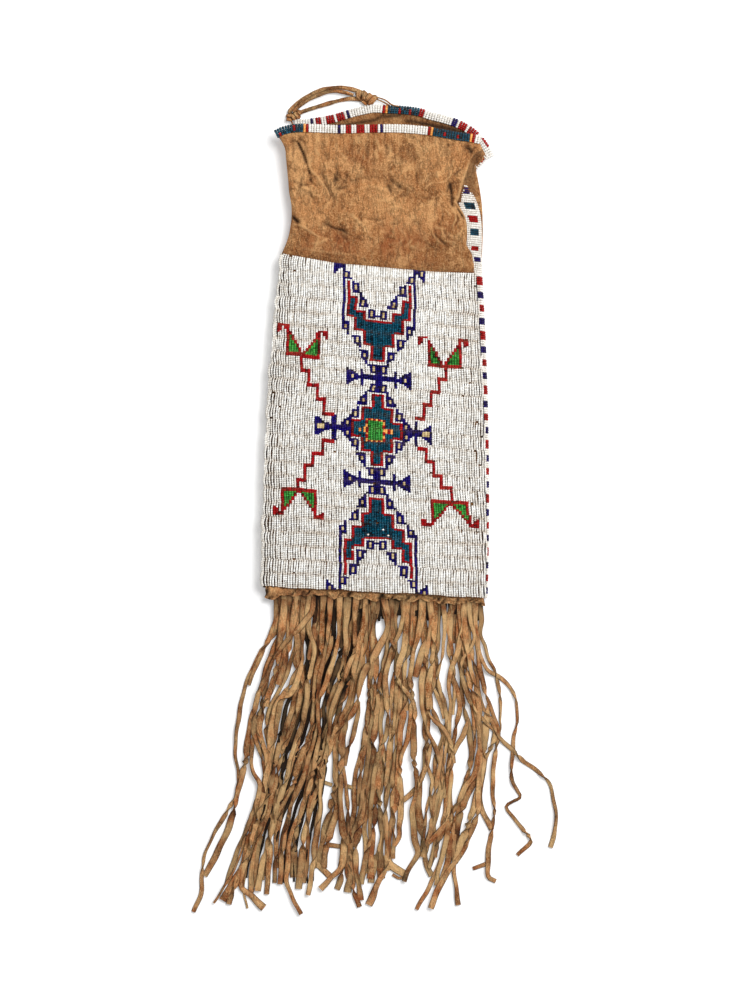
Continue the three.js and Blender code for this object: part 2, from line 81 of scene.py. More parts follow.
def waves(reach, rows, phases):  # swings of several strengths and lengths, added up
    return sum(amount * np.sin(reach / length + phase) for (amount, length), phase in zip(rows, phases))


def strides(points):  # the distance from each point to the next
    return np.linalg.norm(np.diff(points, axis=0), axis=1)


def reachAlong(points):  # how far along its line each point lies
    return np.concatenate([[0], np.cumsum(strides(points))])


def spacedAlong(reach, points, even):
    return np.stack([np.interp(even, reach, points[:, k]) for k in range(points.shape[1])], axis=1)


def routeThrough(points, count):  # an even walk along a smooth line through the points
    perSpan = 20
    knots = np.array(points, float)
    padded = np.vstack([2 * knots[0] - knots[1], knots, 2 * knots[-1] - knots[-2]])
    share = np.linspace(0, 1, perSpan, endpoint=False)[:, None]
    fine = []
    for i in range(len(knots) - 1):
        a, b, c, d = padded[i:i + 4]
        bend = (2 * a - 5 * b + 4 * c - d) * share**2 + (3 * b - a - 3 * c + d) * share**3
        fine.append(b + 0.5 * ((c - a) * share + bend))
    fine = np.vstack(fine + [knots[-1:]])
    reach = reachAlong(fine)
    return spacedAlong(reach, fine, np.linspace(0, reach[-1], count))


def unit(vectors):
    return vectors / np.maximum(np.linalg.norm(vectors, axis=-1, keepdims=True), 1e-9)


def boxOf(node):  # a node's two corners, in millimetres
    return [np.array(corner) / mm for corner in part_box(node)]


def newObject(name, mesh):
    piece = bpy.data.objects.new(name, mesh)
    bpy.context.collection.objects.link(piece)
    return piece


def meshPiece(name, points, faces, finish=None, scale=mm):
    mesh = bpy.data.meshes.new(name)
    mesh.from_pydata((np.asarray(points) * scale).tolist(), [], faces)
    mesh.polygons.foreach_set("use_smooth", [True] * len(mesh.polygons))
    if finish:
        mesh.materials.append(finish)
    shape = bmesh.new()
    shape.from_mesh(mesh)
    bmesh.ops.recalc_face_normals(shape, faces=shape.faces)
    shape.to_mesh(mesh)
    shape.free()
    return newObject(name, mesh)


def markPoints(mesh, **values):  # a value or a direction for every point of a mesh
    for key, value in values.items():
        array = np.asarray(value, float)
        vectors = array.ndim == 2 and array.shape[-1] == 3
        kind, field = ("FLOAT_VECTOR", "vector") if vectors else ("FLOAT", "value")
        mesh.attributes.new(key, kind, "POINT").data.foreach_set(field, array.ravel())


def dress(piece, slotName, *nodes):
    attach(piece, "root")
    if nodes:
        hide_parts(*nodes)


def gridFaces(rows, columns, start=0):  # a tube of rings, closed round each ring
    faces = []
    for i in range(rows - 1):
        low = start + i * columns
        high = low + columns
        for j in range(columns):
            after = (j + 1) % columns
            faces.append((low + j, low + after, high + after, high + j))
    return faces


# Shader maths: a socket that takes plain operators
class Socket:
    def __init__(self, tree, link):
        self.tree = tree
        self.link = link

    def maths(self, operation, first, second):
        return addNode(self.tree, "ShaderNodeMath", {"operation": operation}, {0: first, 1: second})

    def __add__(self, other):
        return self.maths("ADD", self, other)

    def __sub__(self, other):
        return self.maths("SUBTRACT", self, other)

    def __rsub__(self, other):
        return self.maths("SUBTRACT", other, self)

    def __mul__(self, other):
        return self.maths("MULTIPLY", self, other)

    __radd__ = __add__
    __rmul__ = __mul__


def feed(tree, socket, value):
    if isinstance(value, Socket):
        tree.links.new(value.link, socket)
    else:
        socket.default_value = value


def addNode(tree, kind, settings, values, output=0):
    made = tree.nodes.new(kind)
    for key, value in settings.items():
        setattr(made, key, value)
    for key, value in values.items():
        feed(tree, made.inputs[key], value)
    return Socket(tree, made.outputs[output])


class Finish:
    def __init__(self, name):
        self.material = bpy.data.materials.new(name)
        self.material.use_nodes = True
        self.tree = self.material.node_tree
        self.tree.nodes.clear()

    def node(self, kind, settings, values, output=0):
        return addNode(self.tree, kind, settings, values, output)

    def attribute(self, name, output="Fac"):
        return self.node("ShaderNodeAttribute", {"attribute_name": name}, {}, output)

    def mapping(self, place, scale, turn=0.0):
        return self.node("ShaderNodeMapping", {}, {"Vector": place, "Rotation": (0, 0, turn), "Scale": scale})

    def noise(self, place, scale, detail, roughness):
        values = {"Vector": place, "Scale": scale, "Detail": detail, "Roughness": roughness}
        return self.node("ShaderNodeTexNoise", {}, values)

    def stretch(self, low, high, value):  # the part of a value between two levels, as 0 to 1
        values = {"Value": value, "From Min": low, "From Max": high}
        return self.node("ShaderNodeMapRange", {"interpolation_type": "SMOOTHSTEP"}, values)

    def blend(self, share, first, second):
        return self.node("ShaderNodeMix", {"data_type": "RGBA"}, {0: share, 6: first, 7: second}, 2)

    def bump(self, height, distance, strength):
        return self.node("ShaderNodeBump", {}, {"Height": height, "Distance": distance, "Strength": strength})

    def shader(self, values):
        return self.finishWith(self.node("ShaderNodeBsdfPrincipled", {}, values))

    def finishWith(self, surface):
        end = self.tree.nodes.new("ShaderNodeOutputMaterial")
        self.tree.links.new(surface.link, end.inputs["Surface"])
        return self.material


def rgb(*seen):  # a colour as seen, 0 to 255, as the shader's linear values
    shares = [value / 255 for value in seen]
    linear = [(v / 12.92 if v <= 0.04045 else ((v + 0.055) / 1.055) ** 2.4) for v in shares]
    return (*linear, 1.0)


# Glass beads: each bead has its own tone, and dirt gathers along the stitch lines
glassKinds = {"milky": (0.3, 0.25), "clear": (0.16, 0.08), "deep": (0.14, 0.06)}  # roughness and gloss
glass = {  # kind, dullest and brightest colour
    "white": ("milky", rgb(217, 211, 201), rgb(255, 255, 252)),
    "navy": ("deep", rgb(0, 0, 14), rgb(20, 9, 104)),
    "red": ("clear", rgb(62, 0, 3), rgb(164, 4, 16)),
    "teal": ("clear", rgb(0, 12, 26), rgb(4, 84, 108)),
    "green": ("clear", rgb(0, 34, 8), rgb(70, 168, 72)),
    "ochre": ("milky", rgb(160, 132, 84), rgb(222, 202, 152)),
    "orange": ("milky", rgb(210, 120, 40), rgb(250, 180, 96)),
}
dirt = rgb(170, 142, 106)
glassIndex = 1.52


def glassFinish(colour):
    finish = Finish(colour + "Glass")
    kind, dull, bright = glass[colour]
    roughness, gloss = glassKinds[kind]
    tone = finish.blend(finish.attribute("tone"), dull, bright)
    shade = finish.blend(finish.attribute("soil"), tone, dirt)
    surface = {"Roughness": roughness, "IOR": glassIndex, "Specular IOR Level": gloss}
    return finish.shader({"Base Color": shade, **surface})


glassFinishes = {colour: glassFinish(colour) for colour in glass}
print("glass finishes made")


# Lanes of the bead panels, in millimetres
panel = {
    "lanes": 24, "laneHeight": 10.12, "originLane": 12.5, "tiltLanes": [0, 18, 24], "tilts": [5.7, 4.6, 3.0],
    "beads": 8, "columnTop": 1.727, "columnBottom": 1.89, "axisLanes": [0, 3, 8.3, 12.5, 16, 21, 24],
    "axis": [3.7, 3.6, 3.2, 1.9, 2.0, 2.65, 2.7], "leftTop": 70.5, "leftBottom": 85.0, "leftBulge": 3.3,
    "rightTop": 75.0, "rightBottom": 82.5, "rightBulge": 2.75, "foldDepth": 1.9, "crown": 0.7,
}
panelLow, panelHigh = boxOf("front_bead_panel")
backHigh = boxOf("back_bead_panel")[1]
beadsHigh = panel["beads"]
beadShares = (np.arange(beadsHigh) + 0.5) / beadsHigh
beadArch = np.sin(np.pi * beadShares)


def downPanel(top, bottom, lane):
    return top + (bottom - top) * np.asarray(lane, float) / panel["lanes"]


def laneY(lane, x):
    slope = np.tan(np.radians(np.interp(lane, panel["tiltLanes"], panel["tilts"])))
    return (panel["originLane"] - lane) * panel["laneHeight"] - x * slope


def columnPitch(lane):
    return downPanel(panel["columnTop"], panel["columnBottom"], lane)


def axisX(lane):  # the motif's middle wanders a little from lane to lane
    return np.interp(lane, panel["axisLanes"], panel["axis"])


def bulged(top, bottom, bulge, lane):
    share = np.asarray(lane, float) / panel["lanes"]
    return downPanel(top, bottom, lane) + 4 * bulge * share * (1 - share)


def leftX(lane):
    return -bulged(panel["leftTop"], panel["leftBottom"], panel["leftBulge"], lane)


def rightX(lane):
    return bulged(panel["rightTop"], panel["rightBottom"], panel["rightBulge"], lane)


# The bead chart: a colour for every bead, by column from the motif's middle and by row from the top
chartHalf = 50
chartRows = panel["lanes"] * beadsHigh
chartColumn, chartLane = np.meshgrid(
    np.arange(-chartHalf, chartHalf + 1), (np.arange(chartRows) + 0.5) / beadsHigh
)
chart = np.full(chartColumn.shape, "white", dtype="<U6")
mirrorLane = 12.125
apart = np.abs(chartColumn)  # columns out from the middle
folded = mirrorLane - np.abs(chartLane - mirrorLane)  # lanes, with the lower half turned up


def block(c0, c1, l0, l1):
    return (apart >= c0) & (apart <= c1) & (folded >= l0) & (folded < l1)


def span(first, last, l0, l1):
    return (chartColumn >= first) & (chartColumn <= last) & (folded >= l0) & (folded < l1)


def joined(shape, rows):  # one field made of several blocks or spans
    return np.any([shape(*row) for row in rows], axis=0)


def stair(side, column, inward, lane, heights):  # a triangle of columns that stand on a lane or hang from it
    mask = np.zeros(chart.shape, bool)
    for i, height in enumerate(heights):
        low, high = sorted((lane, lane + height / beadsHigh))
        mask |= (chartColumn == side * (column + i * inward)) & (folded > low) & (folded < high)
    return mask


def flared(reach, start, end, level, flare, half):  # a bar that grows higher outwards
    share = np.clip((reach - start + 1) / (end - start + 1), 0, 1)
    return (reach >= start) & (reach <= end) & (level <= flare * share + half)


def rim(mask):  # the beads of a field that touch what lies outside it
    inner = mask.copy()
    for axis in (0, 1):
        for step in (-1, 1):
            inner &= np.roll(mask, step, axis)
    return mask & ~inner


def inside(corners):
    x, y = chartColumn, chartLane
    hit = np.zeros(chart.shape, bool)
    for (x0, y0), (x1, y1) in zip(corners, corners[1:] + corners[:1]):
        crosses = (y0 > y) != (y1 > y)
        rise = y1 - y0 if y1 != y0 else 1e-9
        hit ^= crosses & (x < (x1 - x0) * (y - y0) / rise + x0)
    return hit


def redLine(points, half):  # a stepped line, one column wide
    for (c0, l0), (c1, l1) in zip(points, points[1:]):
        columns = (chartColumn >= round(min(c0, c1))) & (chartColumn <= round(max(c0, c1)))
        lanes = (chartLane >= min(l0, l1) - half) & (chartLane <= max(l0, l1) + half)
        chart[columns & lanes] = "red"


def paintField(field, colour):  # a field with a red contour
    chart[field] = colour
    chart[rim(field)] = "red"


motif = {
    "navyBlocks": [
        (15, 15, 0.0, 4.62), (15, 18, 0.0, 0.26), (0, 7, 8.13, 8.56), (7, 9, 8.25, 8.44), (7, 7, 7.7, 9.0),
    ],
    "navySpans": [(-4, 3, 3.69, 3.88), (-1, 1, 7.37, 9.37), (-4, 3, 7.37, 7.5), (-4, 3, 9.25, 9.37)],
    "stairs": [
        (14, 14, -1, 1.25, (-5, -4, -1)), (11, 11, -1, 2.25, (-7, -6, -4, -1)),
        (8, 7, -1, 3.31, (-8, -6, -4, -2)), (4, 3, -1, 3.88, (-4, -3)), (13, 12, 1, 4.37, (8, 5, 2)),
        (8, 8, 1, 5.37, (7, 6, 3, 1)), (5, 4, 1, 6.37, (8, 6, 4, 1)), (2, 2, 1, 7.37, (5, 3, 1)),
        (2, 2, 1, 9.37, (-4, -3, -1)), (5, 4, 1, 10.43, (-8, -6, -5, -2)), (8, 8, 1, 11.37, (-7, -5, -3, -1)),
        (11, 11, 1, 12.13, (-8, -6, -4, -3)), (20, 19, -1, 0.0, (8, 6, 4, 3, 2)),
    ],
    "crossLane": 8.35,
    "cross": {"start": 9, "end": 13, "flare": 0.5, "half": 0.12},
    "armFlare": {"flare": 0.62, "half": 0.1},
    # side, bar, tick, start and end of the flare, half of the bar's height, and the eye's column
    "arms": [(-1, 14, 17.5, 19, 25, 0.19, 23), (1, 13, 16, 18, 22, 0.25, 20)],
    "armDrop": 0.06, "tickHalf": (0.6, 0.95), "eyeHalf": (1.1, 0.2), "dotHalf": 0.14, "dotBorder": 0.3,
    # the upper left corner is worked in its own way
    "corner": {
        "first": -19, "last": -15, "lanes": 2, "bar": 0.38, "slopeEnd": -17, "top": 1.02, "slope": 0.26,
    },
    "dots": [
        (14, 14, 0.94), (10, 10, 1.81), (7, 6, 2.94), (3, 2, 3.69), (14, 13, 4.75), (9, 9, 5.69),
        (6, 5, 6.75), (2, 2, 7.69), (2, 2, 9.06), (6, 5, 10.0), (9, 9, 11.06), (12, 12, 11.75),
        (19, 18, 0.31), (11, 11, 8.35),
    ],
    "forkBlocks": [(10, 13, 2.5, 4.0), (6, 10, 3.5, 5.0), (0, 10, 4.1, 5.0), (0, 6, 4.1, 6.0)],
    "forkSpans": [(-3, 2, 4.1, 7.1)],
    "forkTip": (13, 13, 1.4, 2.6),
    "diamond": [(0, 2, 9.48, 13), (0, 6, 10.48, 13), (0, 10, 11.45, 13)],
    "centreLane": 12.2,
    # first and last column, and half the height
    "centre": (-3, 2, 0.72),
    "centreBorder": (-4, 3, 0.86),
    "centreDashes": [
        (-4, "red", 0.2), (-5, "orange", 0.2), (-7, "orange", 0.13), (4, "orange", 0.2), (5, "red", 0.2),
        (6, "orange", 0.2),
    ],
    "lineHalf": 0.07,
    "stepHalf": 0.12,
    "steps": [
        ([-17.5, -22.0, -25.1, -28.9, -31.6], [11.2, 10.2, 9.25, 8.2, 7.1]),
        ([-18.4, -22.1, -26.1, -29.0, -31.8], [13.25, 14.2, 15.15, 16.2, 17.05]),
        ([16.2, 19.0, 22.1, 25.0, 27.6], [11.05, 10, 9, 7.95, 7]),
        ([16.6, 19.6, 23.2, 26.4, 29.6], [13.2, 14.15, 15.15, 16.05, 17]),
    ],
    "wings": [
        [(-38.6, 5.0), (-38.6, 7.2), (-31.2, 7.2)], [(-24.4, 5.3), (-24.4, 7.3), (-32.4, 7.2)],
        [(20.2, 5.0), (20.2, 7.12), (27.8, 7.12)], [(34.2, 5.0), (34.2, 7.05), (26.6, 7.05)],
        [(-38.6, 18.9), (-38.6, 17.0), (-31.0, 17.0)], [(-24.4, 18.9), (-24.4, 17.05), (-32.2, 17.0)],
        [(21.3, 18.9), (21.3, 17.0), (30.0, 17.0)], [(37.8, 18.9), (36.2, 16.95), (28.8, 17.0)],
    ],
    "hooks": [
        [(-38, 5.06), (-42, 5.06), (-42, 5.5)], [(-41, 5.06), (-41, 5.45)], [(-39, 5.06), (-38, 5.3)],
        [(-25, 5.35), (-22, 5.35), (-22, 5.75)], [(-23, 5.35), (-23, 5.6)], [(-26, 5.4), (-25, 5.6)],
        [(20, 5.06), (17, 5.06), (17, 5.5)], [(18, 5.06), (18, 5.4)],
        [(34, 5.06), (37, 5.0), (37, 5.3)], [(36, 5.0), (36, 5.45)],
        [(-38, 18.8), (-41, 18.7), (-41, 18.3)], [(-40, 18.4), (-40, 18.75)],
        [(-25, 18.8), (-22, 18.9), (-22, 18.55)], [(-23, 18.7), (-23, 18.9)],
        [(21, 18.85), (18, 18.75), (18, 18.4)], [(19, 18.5), (19, 18.8)],
        [(37, 18.7), (40, 18.6), (40, 18.2)], [(39, 18.3), (39, 18.6)],
    ],
    "wingBases": [
        [(-38, 7.1), (-31, 7.18)], [(-31, 7.2), (-25, 7.28)], [(21, 7.1), (34, 6.98)],
        [(-38, 17.0), (-25, 17.1)], [(22, 17.08), (36, 16.98)],
    ],
    "lostBeads": [(1.6, 19.4), (3.6, 19.85), (-4.4, 19.85), (-10.4, 21.1)],
}
armLevel = np.abs(chartLane - mirrorLane - motif["armDrop"])
centreLevel = np.abs(chartLane - motif["centreLane"])


def navyField():
    navy = joined(block, motif["navyBlocks"]) | joined(span, motif["navySpans"])
    for left, right, inward, lane, heights in motif["stairs"]:
        navy |= stair(-1, left, inward, lane, heights) | stair(1, right, inward, lane, heights)
    navy |= flared(apart, level=np.abs(folded - motif["crossLane"]), **motif["cross"])
    for side, bar, tick, start, end, half, _ in motif["arms"]:
        reach = side * chartColumn
        navy |= (reach >= bar) & (reach <= start) & (armLevel <= half)
        tickWide, tickHigh = motif["tickHalf"]
        navy |= (np.abs(reach - tick) < tickWide) & (armLevel <= tickHigh)
        navy |= flared(reach, start, end, armLevel, **motif["armFlare"])
    corner = motif["corner"]
    inCorner = (chartColumn <= corner["last"]) & (chartColumn >= corner["first"])
    navy &= ~((chartLane < corner["lanes"]) & (chartColumn < corner["last"]))
    navy |= inCorner & (chartLane < corner["bar"])
    slope = corner["top"] - corner["slope"] * (chartColumn - corner["first"])
    return navy | inCorner & (chartColumn <= corner["slopeEnd"]) & (chartLane < slope)


def drawDots():
    for left, right, lane in motif["dots"]:
        pick = (chartColumn == -left) | (chartColumn == right)
        near = (np.abs(chartColumn + left) <= 1) | (np.abs(chartColumn - right) <= 1)
        kept = (chartLane > motif["corner"]["lanes"]) | (chartColumn >= motif["corner"]["last"])
        chart[near & (np.abs(folded - lane) < motif["dotBorder"]) & kept] = "navy"
        chart[pick & (np.abs(folded - lane) < motif["dotHalf"]) & kept] = "ochre"
    eyeWide, eyeHigh = motif["eyeHalf"]
    for side, *_, eye in motif["arms"]:
        chart[(np.abs(side * chartColumn - eye) < eyeWide) & (armLevel < eyeHigh)] = "ochre"


def drawCentre():
    centre, border = (
        (chartColumn >= first) & (chartColumn <= last) & (centreLevel < half)
        for first, last, half in (motif["centre"], motif["centreBorder"])
    )
    chequer = (chartColumn + (chartLane * beadsHigh).astype(int) // 2) % 2
    chart[border] = np.where(chequer == 0, "red", "orange")[border]
    chart[centre] = "green"
    for column, colour, half in motif["centreDashes"]:
        chart[(chartColumn == column) & (centreLevel < half)] = colour


def drawChart():
    chart[navyField()] = "navy"
    drawDots()
    paintField(joined(block, motif["forkBlocks"]) | joined(span, motif["forkSpans"]), "teal")
    paintField(joined(block, motif["diamond"]), "teal")
    chart[block(*motif["forkTip"])] = "red"
    drawCentre()
    for corners in motif["wings"]:
        paintField(inside(corners), "green")
    for points in motif["hooks"] + motif["wingBases"]:
        redLine(points, motif["lineHalf"])
    for columns, lanes in motif["steps"]:
        path = [(columns[0], lanes[0])]
        for i in range(1, len(columns)):
            path += [(columns[i], lanes[i - 1]), (columns[i], lanes[i])]
        redLine(path, motif["stepHalf"])
    for column, lane in motif["lostBeads"]:
        chart[(np.abs(chartColumn - column) < 0.5) & (np.abs(chartLane - lane) < 0.063)] = "white"


drawChart()
print("bead chart drawn:", {colour: int((chart == colour).sum()) for colour in glass if colour != "white"})


# Beads as points: each has its place, the thread's direction, the way it faces, a tone and its dirt
class BeadCloud:
    def __init__(self):
        self.parts = {"place": [], "along": [], "up": [], "tone": [], "soil": [], "fill": []}

    def add(self, **values):
        count = len(values["place"])
        for key, value in {"fill": 1.0, **values}.items():
            width = 3 if key in ("place", "along", "up") else 1
            rows = np.asarray(value, float).reshape(-1, width)
            self.parts[key].append(np.broadcast_to(rows, (count, width)))

    def pointMesh(self, name):
        gathered = {key: np.vstack(value) for key, value in self.parts.items()}
        mesh = bpy.data.meshes.new(name)
        mesh.from_pydata((gathered.pop("place") * mm).tolist(), [], [])
        markPoints(mesh, **gathered)
        return mesh


def beadShape(name, angles, beads=1):  # a row of barrels along X, each one long and one wide
    endGirth = 0.66
    section = [(math.cos(math.radians(a)) / 2, math.sin(math.radians(a)) / 2) for a in angles]
    stations = []
    for i in range(beads):
        stations += [(i, endGirth), (i + 0.5, 1.0)]
    stations.append((beads, endGirth))
    points = [(x - beads / 2, swell * y, swell * z) for x, swell in stations for y, z in section]
    faces = gridFaces(len(stations), len(section))
    faces += [tuple(range(len(section))), tuple(range(len(points) - len(section), len(points)))]
    return meshPiece(name, points, faces, scale=1)


def threadingTree():  # geometry nodes that set a bead on every point
    tree = bpy.data.node_groups.new("threadBeads", "GeometryNodeTree")
    kinds = {
        "Geometry": "Geometry", "Bead": "Object", "Bead Length": "Float", "Bead Girth": "Float",
        "Unevenness": "Float", "Seed": "Int", "Finish": "Material",
    }
    for label, kind in kinds.items():
        tree.interface.new_socket(label, in_out="INPUT", socket_type="NodeSocket" + kind)
    tree.interface.new_socket("Geometry", in_out="OUTPUT", socket_type="NodeSocketGeometry")
    start = tree.nodes.new("NodeGroupInput")
    given = {label: Socket(tree, start.outputs[label]) for label in kinds}

    def attribute(name, kind="FLOAT_VECTOR"):
        return addNode(tree, "GeometryNodeInputNamedAttribute", {"data_type": kind}, {"Name": name})

    def uneven(label, seedShift):  # a size that varies from bead to bead
        limits = {2: 1 - given["Unevenness"], 3: 1 + given["Unevenness"], "Seed": given["Seed"] + seedShift}
        return given[label] * addNode(tree, "FunctionNodeRandomValue", {"data_type": "FLOAT"}, limits, 1)

    axes = {"Primary Axis": attribute("along"), "Secondary Axis": attribute("up")}
    turn = addNode(tree, "FunctionNodeAxesToRotation", {"primary_axis": "X", "secondary_axis": "Z"}, axes)
    length = uneven("Bead Length", 0)
    girth = uneven("Bead Girth", 7)
    fill = attribute("fill", "FLOAT")
    sizes = {"X": length * fill.maths("MAXIMUM", fill, 1), "Y": girth * fill, "Z": girth}
    scale = addNode(tree, "ShaderNodeCombineXYZ", {}, sizes)
    original = {"transform_space": "ORIGINAL"}
    bead = addNode(tree, "GeometryNodeObjectInfo", original, {"Object": given["Bead"]}, "Geometry")
    setting = {"Points": given["Geometry"], "Instance": bead, "Rotation": turn, "Scale": scale}
    placed = addNode(tree, "GeometryNodeInstanceOnPoints", {}, setting)
    whole = addNode(tree, "GeometryNodeRealizeInstances", {}, {"Geometry": placed})
    finished = addNode(tree, "GeometryNodeSetMaterial", {}, {"Geometry": whole, "Material": given["Finish"]})
    tree.links.new(finished.link, tree.nodes.new("NodeGroupOutput").inputs[0])
    return tree


beadTree = threadingTree()
beadForms = {
    "laid": beadShape("laidBead", (-25, 32.5, 90, 147.5, 205)),
    "round": beadShape("roundBead", (0, 60, 120, 180, 240, 300)),
    "string": beadShape("laidString", (-25, 52, 128, 205), beadsHigh),
}


def threadBeads(name, cloud, form, colour, length, girth, unevenness=0.06):
    holder = newObject(name + "Points", cloud.pointMesh(name + "Points"))
    modifier = holder.modifiers.new("threadBeads", "NODES")
    modifier.node_group = beadTree
    given = {
        "Bead": beadForms[form], "Bead Length": length * mm, "Bead Girth": girth * mm,
        "Unevenness": unevenness, "Seed": 3, "Finish": glassFinishes[colour],
    }
    for item in beadTree.interface.items_tree:
        if item.in_out == "INPUT" and item.name in given:
            modifier[item.identifier] = given[item.name]
    bpy.context.view_layer.update()
    mesh = bpy.data.meshes.new_from_object(holder.evaluated_get(bpy.context.evaluated_depsgraph_get()))
    mesh.name = name
    for key in ("along", "up", "fill"):
        mesh.attributes.remove(mesh.attributes[key])
    bpy.data.objects.remove(holder)
    return newObject(name, mesh)


# The front panel's beads, string by string
strung = {
    "beadGirth": 1.19, "beadLength": 0.98, "bow": 0.17, "edgeBowLeft": 0.6, "edgeBowRight": 0.3,
    "edgeReach": 10.0, "edgePull": 0.9, "laneShift": 0.2, "laneLean": 0.42, "stringShift": 0.06,
    "stringLean": 0.2, "gather": 0.02, "seamWaves": ((1, 9.5), (0.7, 3.9)), "seamWave": 0.32,
    "rightRoom": 0.3, "bowShared": 0.6, "leanShared": 0.5, "lean": 0.45, "slip": 0.1, "hemGap": 0.2,
    "crownPower": 0.7,
}
beadWear = {
    "tone": 0.62, "stringTones": 0.14, "beadTones": 0.26, "soil": 0.02, "seamSoil": 0.6, "edgeSoil": 0.08,
    "soilChange": 0.04, "mostSoil": 0.6, "colourSoil": 0.25, "lost": 0.002, "edgeLost": 0.03, "slack": 0.3,
    "leftPart": -40, "leftLoss": 0.34, "edgeLoss": 0.15, "uneven": 0.1, "slackLoss": 0.27, "slimmest": 0.58,
    "fills": {"navy": 1.1, "red": 1.3, "teal": 1.02, "green": 1.0, "ochre": 1.12, "orange": 1.1},
    "lifts": {"white": 0, "red": 0.25}, "lift": 0.12,
}
seamPhases = dice.uniform(0, 6.28, (panel["lanes"] + 1, 2))
hemLine = [
    (-68.6, 134.6), (-60, 132.8), (-50, 131), (-30, 127.3), (0, 124.6), (20, 122.7), (45, 120.7), (60, 120.2),
    (74.4, 119.8),
]


def hemY(x):  # the hide's lower edge, which laps over the first lane
    return np.interp(x, [point[0] for point in hemLine], [point[1] for point in hemLine])


def softNoise(count, near):  # random swings that neighbours partly share
    raw = dice.normal(0, 1, count + 4)
    smooth = (raw[:-4] + 2 * raw[1:-3] + 3 * raw[2:-2] + 2 * raw[3:-1] + raw[4:]) / 4.4
    return near * smooth + (1 - near) * dice.normal(0, 1, count)


def blotches(x, y):  # slow changes of dirt over the panel
    wave = np.sin(x / 19 + 0.7) * np.sin(y / 23 + 1.9) + 0.7 * np.sin(x / 9.5 - y / 14 + 0.4)
    return 0.5 + 0.25 * wave


def seamY(lane, x):  # the stitched line between two lanes, which wavers
    return laneY(lane, x) + strung["seamWave"] * waves(x, strung["seamWaves"], seamPhases[lane])


def laneStrings(lane, facing):
    middle = lane + 0.5
    pitch = columnPitch(middle)
    first = math.ceil((leftX(middle) + panel["foldDepth"] - axisX(middle)) / pitch)
    last = math.floor((rightX(middle) + strung["rightRoom"] - axisX(middle)) / pitch)
    columns = np.arange(first, last + 1)
    level = lane + beadShares
    centred = beadShares - 0.5
    sway = strung["laneShift"] * dice.normal() + strung["laneLean"] * dice.normal() * centred
    x = sway[None, :] + axisX(level)[None, :] + columns[:, None] * columnPitch(level)[None, :]
    left = np.exp(-(x - leftX(middle)) / strung["edgeReach"])
    right = np.exp(-(rightX(middle) - x) / strung["edgeReach"])
    swing = strung["bow"] + strung["edgeBowLeft"] * left + strung["edgeBowRight"] * right
    bow = softNoise(len(columns), strung["bowShared"])[:, None] * beadArch
    lean = strung["lean"] * softNoise(len(columns), strung["leanShared"])[:, None] * centred
    x = x + swing * (bow + lean) - strung["edgePull"] * left * beadArch
    own = dice.normal(0, 1, (2, len(columns), 1))
    x = x + strung["stringShift"] * own[0] + strung["stringLean"] * own[1] * centred
    slip = dice.normal(0, strung["slip"], (len(columns), 1))
    drawn = 1 - strung["gather"] * dice.random((len(columns), 1))
    high, low = seamY(lane, x), seamY(lane + 1, x)
    y = high + (low - high) * (0.5 + centred * drawn) + slip
    if lane == 0:
        y = low + (hemY(x) - strung["hemGap"] - low) * (1 - beadShares)
    depth = panelHigh[2] - panelLow[2] - panel["crown"]
    crown = beadArch ** strung["crownPower"] * np.ones_like(x)
    rise = depth - pitch * strung["beadGirth"] / 2 + panel["crown"] * crown
    z = panelLow[2] + rise if facing > 0 else backHigh[2] - rise
    place = np.stack([x, y, z], axis=2)
    along = unit(np.gradient(place, axis=1))
    up = np.zeros_like(place)
    up[..., 2] = facing
    return columns, place, along, up, left + right


def slackRuns(count):  # a few beads in a row that leave a dark gap beside them
    row = np.arange(beadsHigh)[None, :]
    start = dice.integers(-1, beadsHigh - 1, (count, 1))
    stop = start + dice.integers(1, 4, (count, 1))
    return (dice.random((count, 1)) < beadWear["slack"]) & (row >= start) & (row < stop)


def beadFill(colour, place, edge):  # how much of its column each bead takes up
    if colour != "white":
        return np.full(edge.shape, beadWear["fills"][colour])
    slack = slackRuns(len(edge))
    loss = np.where(place[..., 0] < beadWear["leftPart"], beadWear["leftLoss"], beadWear["edgeLoss"]) * edge
    full = 1 - loss - beadWear["uneven"] * dice.random(edge.shape) - beadWear["slackLoss"] * slack
    return np.clip(full, beadWear["slimmest"], 1)


thirds = ("Top", "Middle", "Bottom")


def thirdOf(lane):
    return thirds[lane * len(thirds) // panel["lanes"]]


def frontPanel():
    clouds = {}
    seam = (1 - beadArch) ** 2
    for lane in range(panel["lanes"]):
        columns, place, along, up, edge = laneStrings(lane, 1)
        rows = lane * beadsHigh + np.arange(beadsHigh)
        colours = chart[rows[None, :], columns[:, None] + chartHalf]
        stringTone = dice.normal(beadWear["tone"], beadWear["stringTones"], (len(columns), 1))
        tone = np.clip(stringTone + dice.normal(0, beadWear["beadTones"], colours.shape), 0, 1)
        soil = beadWear["soil"] + beadWear["seamSoil"] * seam * blotches(place[..., 0], place[..., 1])
        soil = soil + beadWear["edgeSoil"] * edge + dice.normal(0, beadWear["soilChange"], colours.shape)
        soil = np.clip(soil, 0, beadWear["mostSoil"])
        lost = dice.random(colours.shape) < beadWear["lost"] + beadWear["edgeLost"] * edge
        lost[:, 1:-1] = False
        soil[colours != "white"] *= beadWear["colourSoil"]
        for colour in np.unique(colours):
            pick = (colours == colour) & ~lost
            cloud = clouds.setdefault(colour + thirdOf(lane) if colour == "white" else colour, BeadCloud())
            fill = beadFill(colour, place, edge)
            raised = place + (0, 0, beadWear["lifts"].get(colour, beadWear["lift"]))
            values = {"place": raised, "along": along, "up": up, "tone": tone, "soil": soil, "fill": fill}
            cloud.add(**{key: value[pick] for key, value in values.items()})
    return clouds


